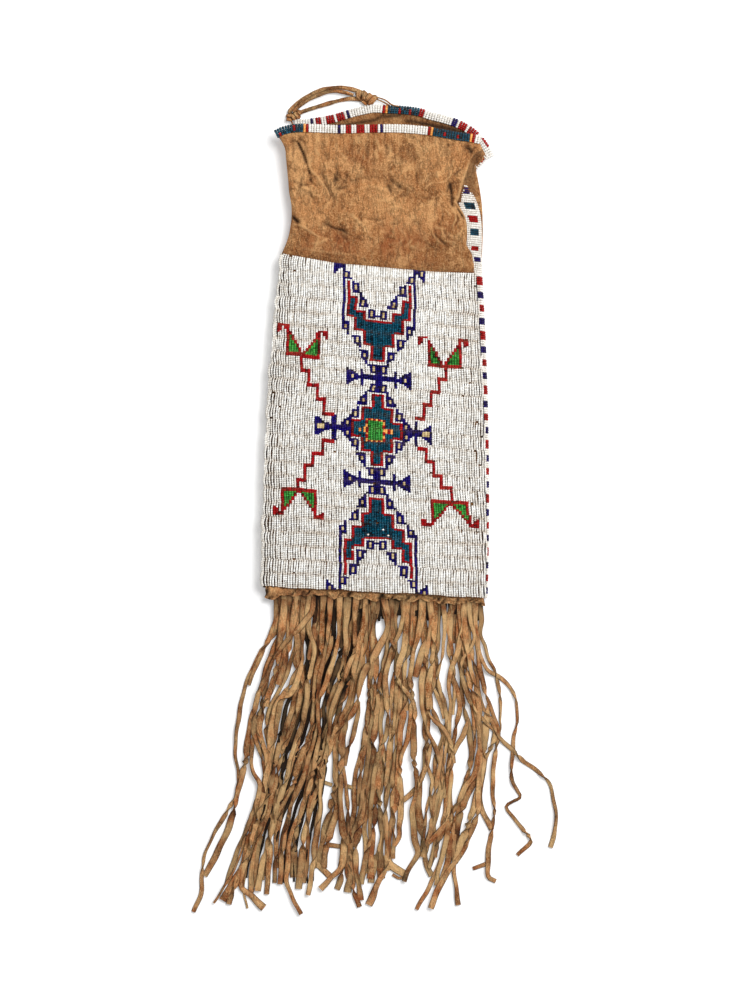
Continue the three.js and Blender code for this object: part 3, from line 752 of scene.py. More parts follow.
nodeEndings = {
    "white": "front_bead_panel", "navy": "navy_motif", "red": ("_contour", "_wing"),
    "teal": ("fork_field", "diamond_field"), "green": ("diamond_centre", "outer_field", "inner_field"),
}
slots = {colour: colour + "_beads" for colour in glass}
slots |= {"ochre": "white_beads", "orange": "red_beads"}
middlePitch = columnPitch(panel["lanes"] / 2)
beadLength = panel["laneHeight"] / beadsHigh * strung["beadLength"]
for key, cloud in frontPanel().items():
    colour = next(name for name in glass if key.startswith(name))
    name = "front" + key.capitalize() + "Beads"
    piece = threadBeads(name, cloud, "laid", colour, beadLength, middlePitch * strung["beadGirth"])
    endings = nodeEndings.get(colour, ())
    dress(piece, slots[colour], *(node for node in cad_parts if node.endswith(endings)))
print("front panel strung")

# The back panel: whole strings, plain white
backWear = {"tone": 0.6, "tones": 0.15, "soil": 0.12, "edgeSoil": 0.1, "lift": 0.05, "unevenness": 0.02}


def backPanel():
    clouds = {third: BeadCloud() for third in thirds}
    level = backHigh[2] - (panelHigh[2] - panelLow[2]) + middlePitch / 2 + backWear["lift"]
    for lane in range(panel["lanes"]):
        columns, place, along, up, edge = laneStrings(lane, -1)
        middle = place.mean(axis=1)
        middle[:, 2] = level
        lengthwise = unit(place[:, -1] - place[:, 0])
        lengthwise[:, 2] = 0
        tone = dice.normal(backWear["tone"], backWear["tones"], len(columns))
        soil = backWear["soil"] + backWear["edgeSoil"] * edge[:, 0]
        clouds[thirdOf(lane)].add(place=middle, along=lengthwise, up=up[:, 0], tone=tone, soil=soil)
    return clouds


for third, cloud in backPanel().items():
    name = "backBeads" + third
    piece = threadBeads(name, cloud, "string", "white", beadLength, middlePitch, backWear["unevenness"])
    dress(piece, "white_beads", "back_bead_panel")
print("back panel strung")

# The left fold, where the lanes run round to the back
fold = {
    "strings": 8, "girth": 1.75, "jut": 0.45, "start": 0.3, "uneven": 0.25, "overrun": 0.4, "inset": 0.75,
    "sway": 0.3, "edge": 1.0, "roundness": 0.5, "pinch": 0.8, "tone": 0.6, "tones": 0.2, "soil": 0.22,
}


def leftFold():
    cloud = BeadCloud()
    barLow, barHigh = boxOf("left_fold_beads")
    middleZ = (barLow[2] + barHigh[2]) / 2
    reach = (barHigh[2] - barLow[2]) / 2 - fold["inset"]
    for lane in range(panel["lanes"]):
        level = lane + beadShares
        jut = fold["jut"] * dice.normal()
        for i in range(fold["strings"]):
            share = (i + fold["start"] + fold["uneven"] * dice.normal()) / (fold["strings"] - fold["overrun"])
            turn = math.radians(90 - 180 * share)
            sway = fold["sway"] * dice.normal() * beadArch
            rounding = 1 - abs(math.cos(turn)) ** fold["roundness"]
            x = leftX(level) + fold["edge"] + jut + rounding + fold["pinch"] * (1 - beadArch)
            place = np.stack([x, laneY(level, x), middleZ + reach * math.sin(turn) + sway], axis=1)
            facing = np.array([-math.cos(turn), 0, math.sin(turn)])
            along = unit(np.gradient(place, axis=0))
            tone = np.clip(dice.normal(fold["tone"], fold["tones"], beadsHigh), 0, 1)
            cloud.add(place=place, along=along, up=facing, tone=tone, soil=fold["soil"])
    return cloud


piece = threadBeads("leftFoldBeads", leftFold(), "laid", "white", beadLength, fold["girth"])
dress(piece, "white_beads", "left_fold_beads")
print("left fold strung")

# Edgings: strings that run across a strip and round its edge, in blocks of colour
edging = {
    "lipPitch": 1.95, "seamPitch": 1.62, "beadLength": 1.32, "beadFill": 0.97, "beadGirth": 1.92,
    "tones": {"teal": 0.42, "navy": 0.55, "red": 0.78}, "tone": 0.6, "toneChange": 0.2, "soil": 0.04,
    "whiteSoil": 0.16,
}
edgingClouds = {colour: BeadCloud() for colour in ("white", "navy", "red", "teal", "orange")}


def strungPath(path, pitch):  # bead places along a path of points, with the thread's direction
    count = max(2, int(round(strides(path).sum() / pitch)))
    even = routeThrough(path, 2 * count + 1)
    return even[1::2], unit(even[2::2] - even[:-2:2])


def addString(path, facing, colourOf, fill=1.0):  # facing is one direction, or gives one for each place
    place, along = strungPath(np.array(path), edging["beadLength"])
    up = unit(facing(place)) if callable(facing) else np.tile(unit(np.array(facing)), (len(place), 1))
    swing = dice.normal(0, edging["toneChange"], len(place))
    for i, point in enumerate(place):
        colour = colourOf(i, point)
        soil = edging["whiteSoil"] if colour == "white" else edging["soil"]
        tone = np.clip(edging["tones"].get(colour, edging["tone"]) + swing[i], 0, 1)
        edgingClouds[colour].add(place=[point], along=along[i], up=up[i], tone=tone, soil=soil, fill=fill)


lips = {
    "front": {
        "line": [(-71.5, 219), (-66, 221.6), (-60, 222.9), (-50, 223.3), (-25, 222.4), (0, 222.9),
                 (20, 222.8), (40, 221), (60, 217.4), (70, 216.1), (77.5, 214.6)],
        "level": 15.95,
        "bands": [(-52.3, "teal"), (-51, "orange"), (-49.5, "red"), (-26.5, "white"), (-24.4, "navy"),
                  (-22, "white"), (-17, "red"), (-13, "white"), (-7.5, "red"), (-3, "white"), (2, "red"),
                  (3.5, "white"), (6, "navy"), (39, "white"), (41.3, "red"), (42.7, "orange"),
                  (69.7, "teal"), (71.4, "orange"), (73.7, "red"), (99, "white")],
        "patches": [(-71.5, -69, 0, 1, "red"), (-61, -58.5, 1, 3, "red"), (51, 53.4, 1, 2, "red"),
                    (60, 62.4, 1, 2, "red")],
    },
    "back": {
        "line": [(-59, 227.6), (-46, 228.6), (-30, 231.4), (-20, 234.4), (-10, 237.1), (0, 238.9),
                 (10, 238.3), (20, 237.9), (32, 236.4), (40, 233.9), (50, 231.4), (60, 228.1),
                 (69, 223.2), (75.6, 217.2), (81, 209.2), (83.2, 204.6)],
        "level": 3.25,
        "bands": [(-47.8, "white"), (-44.7, "navy"), (-43, "white"), (-39, "red"), (-35, "white"),
                  (-30, "red"), (-27.5, "white"), (-22.5, "red"), (-21, "white"), (-18.5, "navy"),
                  (6.8, "white"), (8.7, "red"), (10, "orange"), (32.5, "teal"), (33.9, "orange"),
                  (35.8, "red"), (57.3, "white"), (60.4, "navy"), (61.9, "white"), (67.4, "red"),
                  (69.8, "white"), (74.8, "red"), (99, "white")],
        "patches": [(17, 19.2, 0, 2, "red"), (25, 28, 0, 2, "red"), (78, 82, 3, 4, "red")],
    },
}
lipForm = {
    "section": [(0.4, 1.2), (1.8, 1.4), (3.4, 1.4), (5.0, 1.0), (5.9, 0), (5.0, -1.0), (3.4, -1.4),
                (1.8, -1.4), (0.4, -1.2)],
    "middle": 2.6, "crest": 4.4, "lean": 0.12, "leanShare": 0.15, "fill": 1.13, "finePoints": 400,
}


def acrossLine(line):  # at every second point of a line: the place, the way ahead and the way out
    for place, step in zip(line[1::2], line[2::2] - line[:-2:2]):
        ahead = unit(step)
        yield place, np.array([*ahead, 0]), np.array([-ahead[1], ahead[0], 0])


def lipStrings(facts):
    fine = routeThrough(facts["line"], lipForm["finePoints"])
    heading = unit(np.gradient(fine, axis=0))
    crest = fine + lipForm["crest"] * np.stack([-heading[:, 1], heading[:, 0]], axis=1)
    reach = reachAlong(crest)
    even = np.linspace(0, reach[-1], 2 * int(reach[-1] / edging["lipPitch"]) + 1)
    for place, ahead, outward in acrossLine(spacedAlong(reach, fine, even)):
        start = np.array([*place, facts["level"]])
        middle = start + outward * lipForm["middle"]
        lean = dice.normal(0, lipForm["lean"])
        path = []
        for out, rise in lipForm["section"]:
            slant = lean * (out - lipForm["middle"]) * lipForm["leanShare"] * ahead
            path.append(start + outward * out + (0, 0, rise) + slant)
        base = next(colour for end, colour in facts["bands"] if middle[0] < end)

        def colourOf(i, point):
            for low, high, first, last, colour in facts["patches"]:
                if low <= middle[0] <= high and first <= i <= last:
                    return colour
            return base

        addString(path, lambda points: points - middle, colourOf, lipForm["fill"])


for facts in lips.values():
    lipStrings(facts)

rightEdge = {
    "widthTop": 5.2, "widthBottom": 1.6, "gap": 0.3, "blockHalf": 0.26, "first": 0.08, "spare": 0.05,
    "inset": 0.8, "trim": 1.1, "roundness": 0.6, "sway": 0.12, "centre": 2, "turns": 9,
}


def rightEdging():
    barLow, barHigh = boxOf("right_seam_edging")
    middleZ = (barLow[2] + barHigh[2]) / 2
    reach = (barHigh[2] - barLow[2]) / 2 - rightEdge["inset"]
    level = rightEdge["first"]
    while level < panel["lanes"] - rightEdge["spare"]:
        lane = int(level)
        width = downPanel(rightEdge["widthTop"], rightEdge["widthBottom"], level) - rightEdge["trim"]
        near = rightX(level) + rightEdge["gap"]
        path = []
        for turn in np.linspace(0, math.pi, rightEdge["turns"]):
            x = near + width * math.sin(turn) ** rightEdge["roundness"]
            y = laneY(level, x) + rightEdge["sway"] * dice.normal()
            path.append((x, y, middleZ + reach * math.cos(turn)))
        inBlock = abs(level - lane - 0.5) < rightEdge["blockHalf"]
        colour = ("red", "navy")[lane % 2] if inBlock else "white"
        centre = np.array([near - rightEdge["centre"], laneY(level, near), middleZ])
        addString(path, lambda points: points - centre, lambda i, point: colour)
        level += edging["seamPitch"] / panel["laneHeight"]


rightEdging()

neckStrip = {
    "y": [119, 122, 128, 134, 140, 147, 153, 159, 165, 171, 177, 182, 186],
    "front": [73, 71, 70.5, 69.5, 66.2, 66, 66, 65, 62.5, 59.5, 61, 63, 66],
    "back": [80.2, 80.2, 79.8, 79.3, 79.5, 79.6, 79.5, 79.2, 78.3, 76.7, 74.4, 71.2, 69.4],
    "frontLevel": 8.6, "backLevel": 6.6, "first": 0.6, "crown": 1.2, "slant": 1.0, "facing": (0.45, 0, 0.9),
    "blocks": [(179.5, 183, "navy"), (167.5, 171.5, "teal"), (158, 162.5, "red"), (148.5, 152.5, "teal"),
               (136, 140, "red"), (128.5, 132.5, "navy")],
    "blockFrom": 0.38, "blockTo": 0.84,
}


def neckEdging():
    y = neckStrip["y"][0] + neckStrip["first"]
    while y < neckStrip["y"][-1]:
        front, back = (np.interp(y, neckStrip["y"], neckStrip[side]) for side in ("front", "back"))
        path = []
        for share in np.linspace(0, 1, 5):
            level = neckStrip["frontLevel"] + (neckStrip["backLevel"] - neckStrip["frontLevel"]) * share
            crown = neckStrip["crown"] * math.sin(math.pi * share)
            slant = neckStrip["slant"] * (0.5 - share)
            path.append((front + (back - front) * share, y + slant, level + crown))
        base = next((colour for low, high, colour in neckStrip["blocks"] if low <= y <= high), "white")

        def colourOf(i, point):
            share = (point[0] - front) / (back - front)
            return base if neckStrip["blockFrom"] < share < neckStrip["blockTo"] else "white"

        addString(path, neckStrip["facing"], colourOf)
        y += edging["seamPitch"]


lipReturn = {
    "line": [(81.6, 210.4), (78, 206.4), (72.6, 200.6)], "strings": 7, "width": 5.4, "level": 6.4,
    "droop": 2.2, "facing": (0.3, -0.3, 0.9), "redStrings": (2, 3), "redBeads": (1, 2),
}


def returnStrings():  # the rim's end, turned back below the mouth's corner
    line = routeThrough(lipReturn["line"], 2 * lipReturn["strings"] + 1)
    for number, (place, _, outward) in enumerate(acrossLine(line)):
        start = np.array([*place, lipReturn["level"]])
        path = []
        for t in (0, 0.35, 0.7, 1):
            path.append(start + outward * (lipReturn["width"] * t) - (0, 0, lipReturn["droop"] * t * t))

        def colourOf(i, point):
            return "red" if number in lipReturn["redStrings"] and i in lipReturn["redBeads"] else "white"

        addString(path, lipReturn["facing"], colourOf)


returnStrings()
neckEdging()
seamNodes = {"white": ["neck_seam_strip", "right_seam_edging"]}
for colour, cloud in edgingClouds.items():
    name = "edging" + colour.capitalize() + "Beads"
    length = edging["beadLength"] * edging["beadFill"]
    piece = threadBeads(name, cloud, "round", colour, length, edging["beadGirth"])
    lipNodes = [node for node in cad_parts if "_lip_" + colour in node]
    dress(piece, slots[colour], *lipNodes, *seamNodes.get(colour, []))
print("edgings strung")


# Hide: mottled and streaked, with painted shade in its folds and hollows, paler where it is worn, and a
# painted highlight on its ridges
grain = {
    # scale, detail and roughness of each noise
    "plain": {
        "broad": (24, 4, 0.6), "cloud": (80, 6, 0.7), "mottle": (230, 8, 0.8), "grain": (850, 3, 0.75),
        "spots": (120, 5, 0.65),
    },
    "slanted": {"slant": (300, 5, 0.75), "wrinkle": (105, 4, 0.6)},
    "lengthwise": {"pull": (130, 4, 0.6)},
    "streak": (320, 6, 0.75), "stripStreak": (1.1, 4, 0.7), "slantTurn": 0.9,
    "longScale": (1.0, 0.35, 1.0), "stripScale": (1.0, 0.11, 1.0), "lines": 0.42, "rubbed": 0.7,
    "bump": {"distance": 0.0034, "strength": 0.9}, "surface": {"Roughness": 0.9, "Specular IOR Level": 0.2},
    "wrinkleLine": 0.0011, "wrinkled": (0.42, 0.58), "pullLine": 0.0009, "pulled": (0.56, 0.44),
    "stained": (0.36, 0.6), "lineDepth": 0.16,
    "heights": {"streak": 0.7, "slant": 0.5, "grain": 0.45, "mottle": 0.8},
}


def hideFinish(name, shades, strip=False):
    finish = Finish(name)
    place = finish.node("ShaderNodeTexCoord", {}, {}, "Object")
    lengthwise = finish.mapping(place, grain["longScale"])
    slanted = finish.mapping(place, grain["longScale"], grain["slantTurn"])
    marks = {}
    for space, where in (("plain", place), ("slanted", slanted), ("lengthwise", lengthwise)):
        for kind, facts in grain[space].items():
            marks[kind] = finish.noise(where, *facts)
    if strip:  # the streaks follow a thong's own length
        lay = finish.mapping(finish.attribute("lay", "Vector"), grain["stripScale"])
        marks["streak"] = finish.noise(lay, *grain["stripStreak"])
    else:
        marks["streak"] = finish.noise(lengthwise, *grain["streak"])
    wrinkle, pull = (marks[kind] - 0.5 for kind in ("wrinkle", "pull"))
    wrinkled, pulled = (finish.stretch(*grain[kind], marks["cloud"]) for kind in ("wrinkled", "pulled"))
    lines = finish.stretch(grain["wrinkleLine"], 0.0, wrinkle * wrinkle) * wrinkled
    lines = lines + finish.stretch(grain["pullLine"], 0.0, pull * pull) * pulled
    layers = [  # which mark, the levels it shows between, how strongly and in which shade
        ("broad", 0.42, 0.6, 0.6, "dark"), ("cloud", 0.45, 0.62, 0.65, "pale"),
        ("mottle", 0.47, 0.64, 0.5, "dark"), ("streak", 0.52, 0.64, shades["streaks"], "pale"),
        ("streak", 0.48, 0.36, shades["streaks"], "dark"), ("slant", 0.53, 0.66, 0.45, "dark"),
        ("grain", 0.5, 0.62, 0.5, "pale"), ("grain", 0.5, 0.38, 0.45, "dark"),
    ]
    colour = shades["base"]
    for kind, low, high, strength, shade in layers:
        colour = finish.blend(strength * finish.stretch(low, high, marks[kind]), colour, shades[shade])
    stained = finish.attribute("blush") * finish.stretch(*grain["stained"], marks["spots"])
    colour = finish.blend(stained, colour, shades["stain"])
    colour = finish.blend(grain["lines"] * lines, colour, shades["deep"])
    # painted highlight and wear: paler on the ridges of the folds and where the hide is worn
    colour = finish.blend(grain["rubbed"] * finish.attribute("rubbed"), colour, shades["pale"])
    # painted shade: the mesh's hollow attribute darkens the colour where shade would fall
    colour = finish.blend(finish.attribute("hollow"), colour, shades["deep"])
    height = sum(strength * marks[kind] for kind, strength in grain["heights"].items())
    normal = finish.bump(height - grain["lineDepth"] * lines, **grain["bump"])
    return finish.shader({"Base Color": colour, "Normal": normal, **grain["surface"]})


# deep is the darkest brown, used for the grain's lines and for the painted shade
tannedShades = {
    "base": rgb(211, 144, 88), "dark": rgb(142, 85, 43), "pale": rgb(248, 192, 130),
    "stain": rgb(166, 88, 46), "deep": rgb(44, 24, 12), "streaks": 0.35,
}
thongShades = {
    "base": rgb(243, 158, 94), "dark": rgb(154, 86, 42), "pale": rgb(255, 214, 152),
    "stain": rgb(190, 94, 48), "deep": rgb(18, 9, 4), "streaks": 0.7,
}
tannedHide = hideFinish("tannedHide", tannedShades)
thongHide = hideFinish("thongHide", thongShades, True)

neck = {
    "left": [(-68.6, 134.6), (-66.6, 139), (-65, 143), (-63, 150), (-61.5, 160), (-61.5, 170), (-63.2, 180),
             (-64, 190), (-65, 200), (-65.8, 210), (-68, 216)],
    "right": [(74.4, 119.8), (73.4, 125), (72.3, 133.7), (68.6, 140.4), (68.7, 146.5), (68.7, 153.2),
              (67.7, 159.9), (65, 165.8), (61.4, 171.6), (63, 176), (66.3, 188), (69, 196), (72.2, 204.5),
              (75.5, 208), (79.6, 211.6)],
    "backLeftEnd": (-64, 218),
    "backRight": [(74.6, 119.8), (79, 122), (79.8, 130), (80.2, 140), (80.5, 150), (80.4, 160), (79.9, 170),
                  (78.6, 180), (76.8, 190), (75.6, 197), (78, 200)],
    "frontLevel": 11.6, "gape": 5.0, "backLevel": 2.6, "middleLevel": 7.2, "wall": 1.2, "round": 3.4,
    "backRound": 0.8, "hemLift": 1.3, "underLip": 2.2, "pucker": 0.2, "loose": 0.85, "backLoose": 0.3,
    "columns": 190, "rows": 136, "edgeColumns": [0.0018, 0.992, 0.9982], "every": 3, "panelRows": 12,
    "panelTop": 1.2, "panelSpare": 0.1, "panelLeft": 2.4, "panelRight": 1.6, "inward": 6,
    # share of the way to the back, way in and drop of each line of the gusset
    "gusset": [(0.05, 2.4, 1.2), (0.3, 1.6, 1.8), (0.65, 0.4, 0.8)],
}
# Strengths of the painted shade and painted highlight on the neck, under the panels, in the gusset and inside
# the mouth
neckShade = {
    "foldDepth": 1.7, "fold": 0.8, "valley": 0.16, "low": 0.12, "lowPart": (130, 165), "hem": 0.2,
    "hemReach": 4, "under": 0.4, "underEdge": 0.55, "hemRow": 0.6, "tuck": 0.55, "ridge": 0.9,
    "inside": 0.5, "mouth": 0.3, "mouthRight": 0.3, "rightPart": (20, 70), "mouthFold": 0.6,
    "mouthMost": 0.92, "most": 0.95, "underEdges": (9 / 160, 4 / 160, 0.4),
}
# Creases of the neck: width, rise and route
creases = [
    (1.2, -2.0, [(-63.5, 215.9), (-58, 217.2), (-54.5, 212.1), (-51.7, 205.7), (-49.1, 198.1),
        (-47.5, 191.7), (-46.9, 187.3)]),
    (1.7, 1.0, [(-50.7, 206.4), (-47.9, 196.8), (-43.1, 191.7), (-38.6, 186), (-35.4, 181.5)]),
    (3.2, -0.9, [(-39.3, 193.6), (-34.2, 182.2), (-31, 177), (-30, 172.6), (-31.6, 165)]),
    (1.6, -0.7, [(-29.1, 195.6), (-29.1, 187.3), (-28.4, 182.2)]),
    (1.8, -0.8, [(-29, 181.5), (-24, 182.5), (-18.9, 184.1)]),
    (1.3, -1.8, [(-61.2, 162.4), (-58.4, 159.2), (-55.2, 156.4)]),
    (0.9, 1.1, [(-60.3, 156), (-54.5, 154.8), (-48.2, 151), (-42.4, 147.1), (-38.6, 145.6)]),
    (1.2, -1.2, [(-38.6, 157.7), (-34.2, 155.4), (-30.3, 153.2), (-25.2, 151.9), (-20.1, 149.7)]),
    (1.0, -0.6, [(-48.2, 180.9), (-45.6, 174.5), (-45, 172), (-39.9, 172)]),
    (0.9, -0.6, [(-63.8, 181.5), (-60, 181.8), (-57.1, 181.5)]),
    (0.9, -0.9, [(-0.4, 217), (-0.1, 213), (-0.4, 208.9)]),
    (1.0, -0.8, [(-4.5, 216), (-5, 210), (-5.8, 203.2)]),
    (0.9, -0.7, [(25.5, 217), (25.2, 212), (25.5, 207)]),
    (0.9, -0.9, [(-57, 219), (-54, 218), (-51, 215.6)]),
    (1.0, -0.8, [(-39, 218), (-38, 215), (-36, 212)]),
    (2.4, -0.8, [(10.1, 200), (11.4, 190.6), (18.1, 184), (29.5, 178.6)]),
    (1.4, -1.8, [(61, 169.6), (57.6, 169.9), (57.3, 175.9), (56.3, 184), (54.6, 188)]),
    (1.0, -1.6, [(61, 168.5), (64.3, 163.2), (66.3, 160.5)]),
    (0.9, 0.9, [(56.3, 167.9), (59.6, 163.9), (60.3, 159.9), (58.6, 155.8), (57.9, 151.8)]),
    (0.9, -1.2, [(60.5, 163), (61.8, 159), (60, 155.5)]),
    (0.9, 0.8, [(65.7, 155.2), (64.3, 150.5), (61, 146.5)]),
    (1.1, -1.2, [(44.2, 155.8), (44.2, 151.8), (46.9, 145.8), (50.9, 142.4), (55.6, 139.1)]),
    (0.9, 0.8, [(42.6, 151), (45.2, 146), (51.4, 140)]),
    (0.8, 0.7, [(50.3, 143.6), (59, 142.4), (61.6, 141.1)]),
    (0.9, -1.0, [(53.6, 215.4), (54.8, 214), (55.6, 212.8)]),
    (1.3, -1.6, [(66.3, 212.8), (70.3, 211.4), (72.6, 206.7)]),
    (1.1, 0.8, [(71.6, 205), (68.2, 196), (65.4, 188), (63, 180), (62, 176), (58.8, 172.6), (55.6, 171.8)]),
    (1.0, 0.7, [(61.2, 171), (64.4, 165.2), (67, 159.9), (67.8, 153.2), (67.8, 146.5)]),
    (1.0, -0.55, [(-29, 182.3), (-18, 187.3), (-3.2, 190.5), (11.6, 187.3), (21.5, 180)]),
    (1.2, 0.5, [(-18, 178.6), (-3.2, 183.6), (14, 178), (24, 169)]),
    (1.0, -0.6, [(33.8, 210.7), (31.3, 191), (38.8, 176.2)]),
    (1.0, -1.0, [(-58, 136.6), (-31, 131.8), (-6, 129), (15, 127.4)]),
    (1.1, 0.6, [(-60, 139.4), (-35, 135), (-8, 132.2)]),
    (1.0, -0.8, [(20, 128), (40, 125.6), (62, 124.6)]),
    (0.9, -0.6, [(-10.6, 161.4), (3, 159), (14, 161.4)]),
    (1.0, -0.6, [(-28, 164), (-23, 151.5), (-10.6, 144)]),
    (0.9, -0.6, [(-62.4, 188.5), (-52.5, 184.8), (-45, 186)]),
    (1.0, -0.6, [(24, 146.6), (38.8, 141.6), (53.6, 131.8)]),
]
crinkle = {
    "count": 110, "x": (-60, 64), "y": (134, 216), "upright": (185, 212), "uprightness": 0.8, "turn": 80,
    "length": (5, 17), "bend": 0.12, "rise": (0.25, 0.7), "width": (0.75, 1.5),
}
creaseForm = {"points": 24, "ends": 0.25, "sharp": 1.3, "sharpWidth": 0.8, "sharpest": 1.05, "broad": 0.5,
              "broadWidth": 3.4}
# Pulls of the loose hide: strength, length across and up, and place in the noise
pulls = [(0.9, 14, 24, 3.1), (0.6, 4.2, 8.5, 7.7)]


def crinkles():  # short wrinkles at all angles, more upright near the rim
    found = []
    for _ in range(crinkle["count"]):
        start = np.array([dice.uniform(*crinkle["x"]), dice.uniform(*crinkle["y"])])
        upright = crinkle["uprightness"] * smoothStep(*crinkle["upright"], start[1])
        turn = dice.uniform(-crinkle["turn"], crinkle["turn"])
        heading = math.radians(90 + (1 - upright) * turn)
        ahead = np.array([math.cos(heading), math.sin(heading)])
        aside = np.array([-ahead[1], ahead[0]])
        length = dice.uniform(*crinkle["length"])
        middle = start + ahead * length / 2 + aside * dice.normal(0, crinkle["bend"] * length)
        rise = dice.choice([-1, 1]) * dice.uniform(*crinkle["rise"])
        found.append((dice.uniform(*crinkle["width"]), rise, [start, middle, start + ahead * length]))
    return found


creases += crinkles()


def creaseRise(x, y):  # each crease is a sharp line in a broader fold
    count = creaseForm["points"]
    sharp, broad = np.zeros_like(x), np.zeros_like(x)
    for width, rise, points in creases:
        line = routeThrough(points, count)
        apart = np.hypot(x[..., None] - line[:, 0], y[..., None] - line[:, 1])
        distance = np.min(apart, axis=-1)
        t = np.argmin(apart, axis=-1) / (count - 1)
        ends = creaseForm["ends"]
        strength = rise * (ends + (1 - ends) * plateau((0, 0.3), (0.7, 1), t))
        narrow = min(creaseForm["sharpest"], creaseForm["sharpWidth"] * width)
        sharp += creaseForm["sharp"] * strength * np.exp(-(distance / narrow) ** 2)
        wide = creaseForm["broadWidth"] * width
        broad += creaseForm["broad"] * strength * np.exp(-(distance / wide) ** 2)
    return sharp, broad


def looseRise(x, y):  # small pulls and puckers all over the loose hide
    rise = np.zeros_like(x)
    for index in np.ndindex(x.shape):
        for strength, wide, high, place in pulls:
            rise[index] += strength * noise.noise(Vector((x[index] / wide, y[index] / high, place)))
    return rise


def patch(bottom, top, left, right, across, up):  # a four-sided sheet stretched between its edge lines
    count = 101
    u, v = across[None, :, None], up[:, None, None]
    bottom, top, left, right = (routeThrough(line, count) for line in (bottom, top, left, right))

    def at(line, share):
        return spacedAlong(np.linspace(0, 1, count), line, share)

    sides = (1 - u) * at(left, up)[:, None] + u * at(right, up)[:, None]
    ends = (1 - v) * at(bottom, across)[None] + v * at(top, across)[None]
    corners = (1 - v) * ((1 - u) * bottom[0] + u * bottom[-1]) + v * ((1 - u) * top[0] + u * top[-1])
    return sides + ends - corners


# Spots of colour on the hide: across, up, reach and strength
redSpots = [
    (-23, 142, 11, 0.75), (11, 144, 13, 0.8), (33, 139, 14, 0.55), (-46, 141, 12, 0.4), (52, 150, 9, 0.5),
    (-12, 205, 12, 0.4),
]
fadedSpots = [
    (-52, 205, 16, 0.3), (-53, 170, 13, 0.25), (4, 176, 18, 0.22), (30, 160, 10, 0.25), (40, 205, 15, 0.2),
]
# Lines of painted shade inside the mouth, along its folds
mouthShadeFolds = [
    [(-48, 229.5), (-30, 229), (-13, 231.4), (0, 234), (6.4, 237.6)], [(8, 236.4), (20, 237.4)],
    [(24, 233.4), (40, 230.4), (55, 227), (69, 222.6)],
]


def spread(spots, x, y):
    total = np.zeros_like(x)
    for px, py, reach, amount in spots:
        total += amount * np.exp(-((x - px) ** 2 + (y - py) ** 2) / reach**2)
    return total


def nearLines(lines, x, y):
    near = np.zeros_like(x)
    for points in lines:
        line = routeThrough(points, 40)
        apart = np.min(np.hypot(x[..., None] - line[:, 0], y[..., None] - line[:, 1]), axis=-1)
        near = np.maximum(near, np.exp(-(apart / 1.5) ** 2))
    return near


def neckFront(across, up):  # the front above the panel: plan, heights, sharp folds and broad valleys
    top = [(x, y + neck["underLip"]) for x, y in lips["front"]["line"]]
    plan = patch(hemLine, top, neck["left"] + top[:1], neck["right"] + top[-1:], across, up)
    x, y = plan[..., 0], plan[..., 1]
    rising = up[:, None]
    fade = plateau((0, 0.1), (0.92, 1), rising)
    folds, valleys = (fade * part for part in creaseRise(x, y))
    gathers = np.sin(x * 1.05 + 2 * np.sin(x / 9))
    folds = folds + neck["pucker"] * plateau((0.75, 0.93), (0.96, 1), rising) * gathers
    height = neck["frontLevel"] + neck["gape"] * smoothStep(0, 0.9, rising)
    height = height + neck["hemLift"] * plateau((0, 0.05), (0.2, 0.5), rising)
    return plan, height + folds + valleys + neck["loose"] * fade * looseRise(x, y), folds, valleys


def neckBack(across, up):
    top = [(x, y + neck["underLip"]) for x, y in lips["back"]["line"]]
    left = neck["left"][:-1] + [neck["backLeftEnd"], top[0]]
    plan = patch(hemLine, top, left, neck["backRight"] + top[-1:], across, up)
    fade = plateau((0, 0.1), (0.92, 1), up[:, None])
    slack = 1 + looseRise(plan[..., 0] + 50, plan[..., 1])
    return plan, neck["backLevel"] + neck["backLoose"] * fade * slack


def behindPanel(shares):  # the plan of the sheet between the two bead panels
    rows = []
    for level in np.linspace(panel["lanes"] + neck["panelSpare"], neck["panelTop"], neck["panelRows"]):
        left, right = leftX(level) + neck["panelLeft"], rightX(level) - neck["panelRight"]
        x = left + (right - left) * shares
        rows.append(np.stack([x, laneY(level, x)], axis=1))
    return np.stack(rows)


def wholeSide(low, high, level, heights, turn):  # one side of the pouch, rolled over at its two edges
    plan = np.vstack([low, high])
    fromEdges = [np.linalg.norm(plan - edge, axis=2) for edge in (plan[:, :1], plan[:, -1:])]
    inward = np.clip(1 - np.minimum(*fromEdges) / neck["round"], 0, 1)
    rolled = neck["round"] * (1 - np.sqrt(np.clip(1 - inward**2, 0, 1)))
    return np.dstack([plan, np.vstack([np.full(low.shape[:2], level), heights]) + turn * rolled])


def pouchFaces(rows, ring, half, backCount):
    faces = gridFaces(rows, ring) + [face[::-1] for face in gridFaces(rows, ring, rows * ring)]
    top, innerTop = (rows - 1) * ring, (2 * rows - 1) * ring
    faces += [(top + j, top + (j + 1) % ring, innerTop + (j + 1) % ring, innerTop + j) for j in range(ring)]
    for start, flip in ((0, False), (rows * ring, True)):
        under = [start + ring - 1 - j for j in range(backCount)]
        for j in range(backCount - 1):
            first = start + neck["every"] * j
            face = (under[j], under[j + 1], *range(first + neck["every"], first - 1, -1))
            faces.append(face[::-1] if flip else face)
        side = tuple([start + half - 1] + [under[-1] - k for k in range(len(neck["gusset"]) + 1)])
        faces.append(side if flip else side[::-1])
    return faces


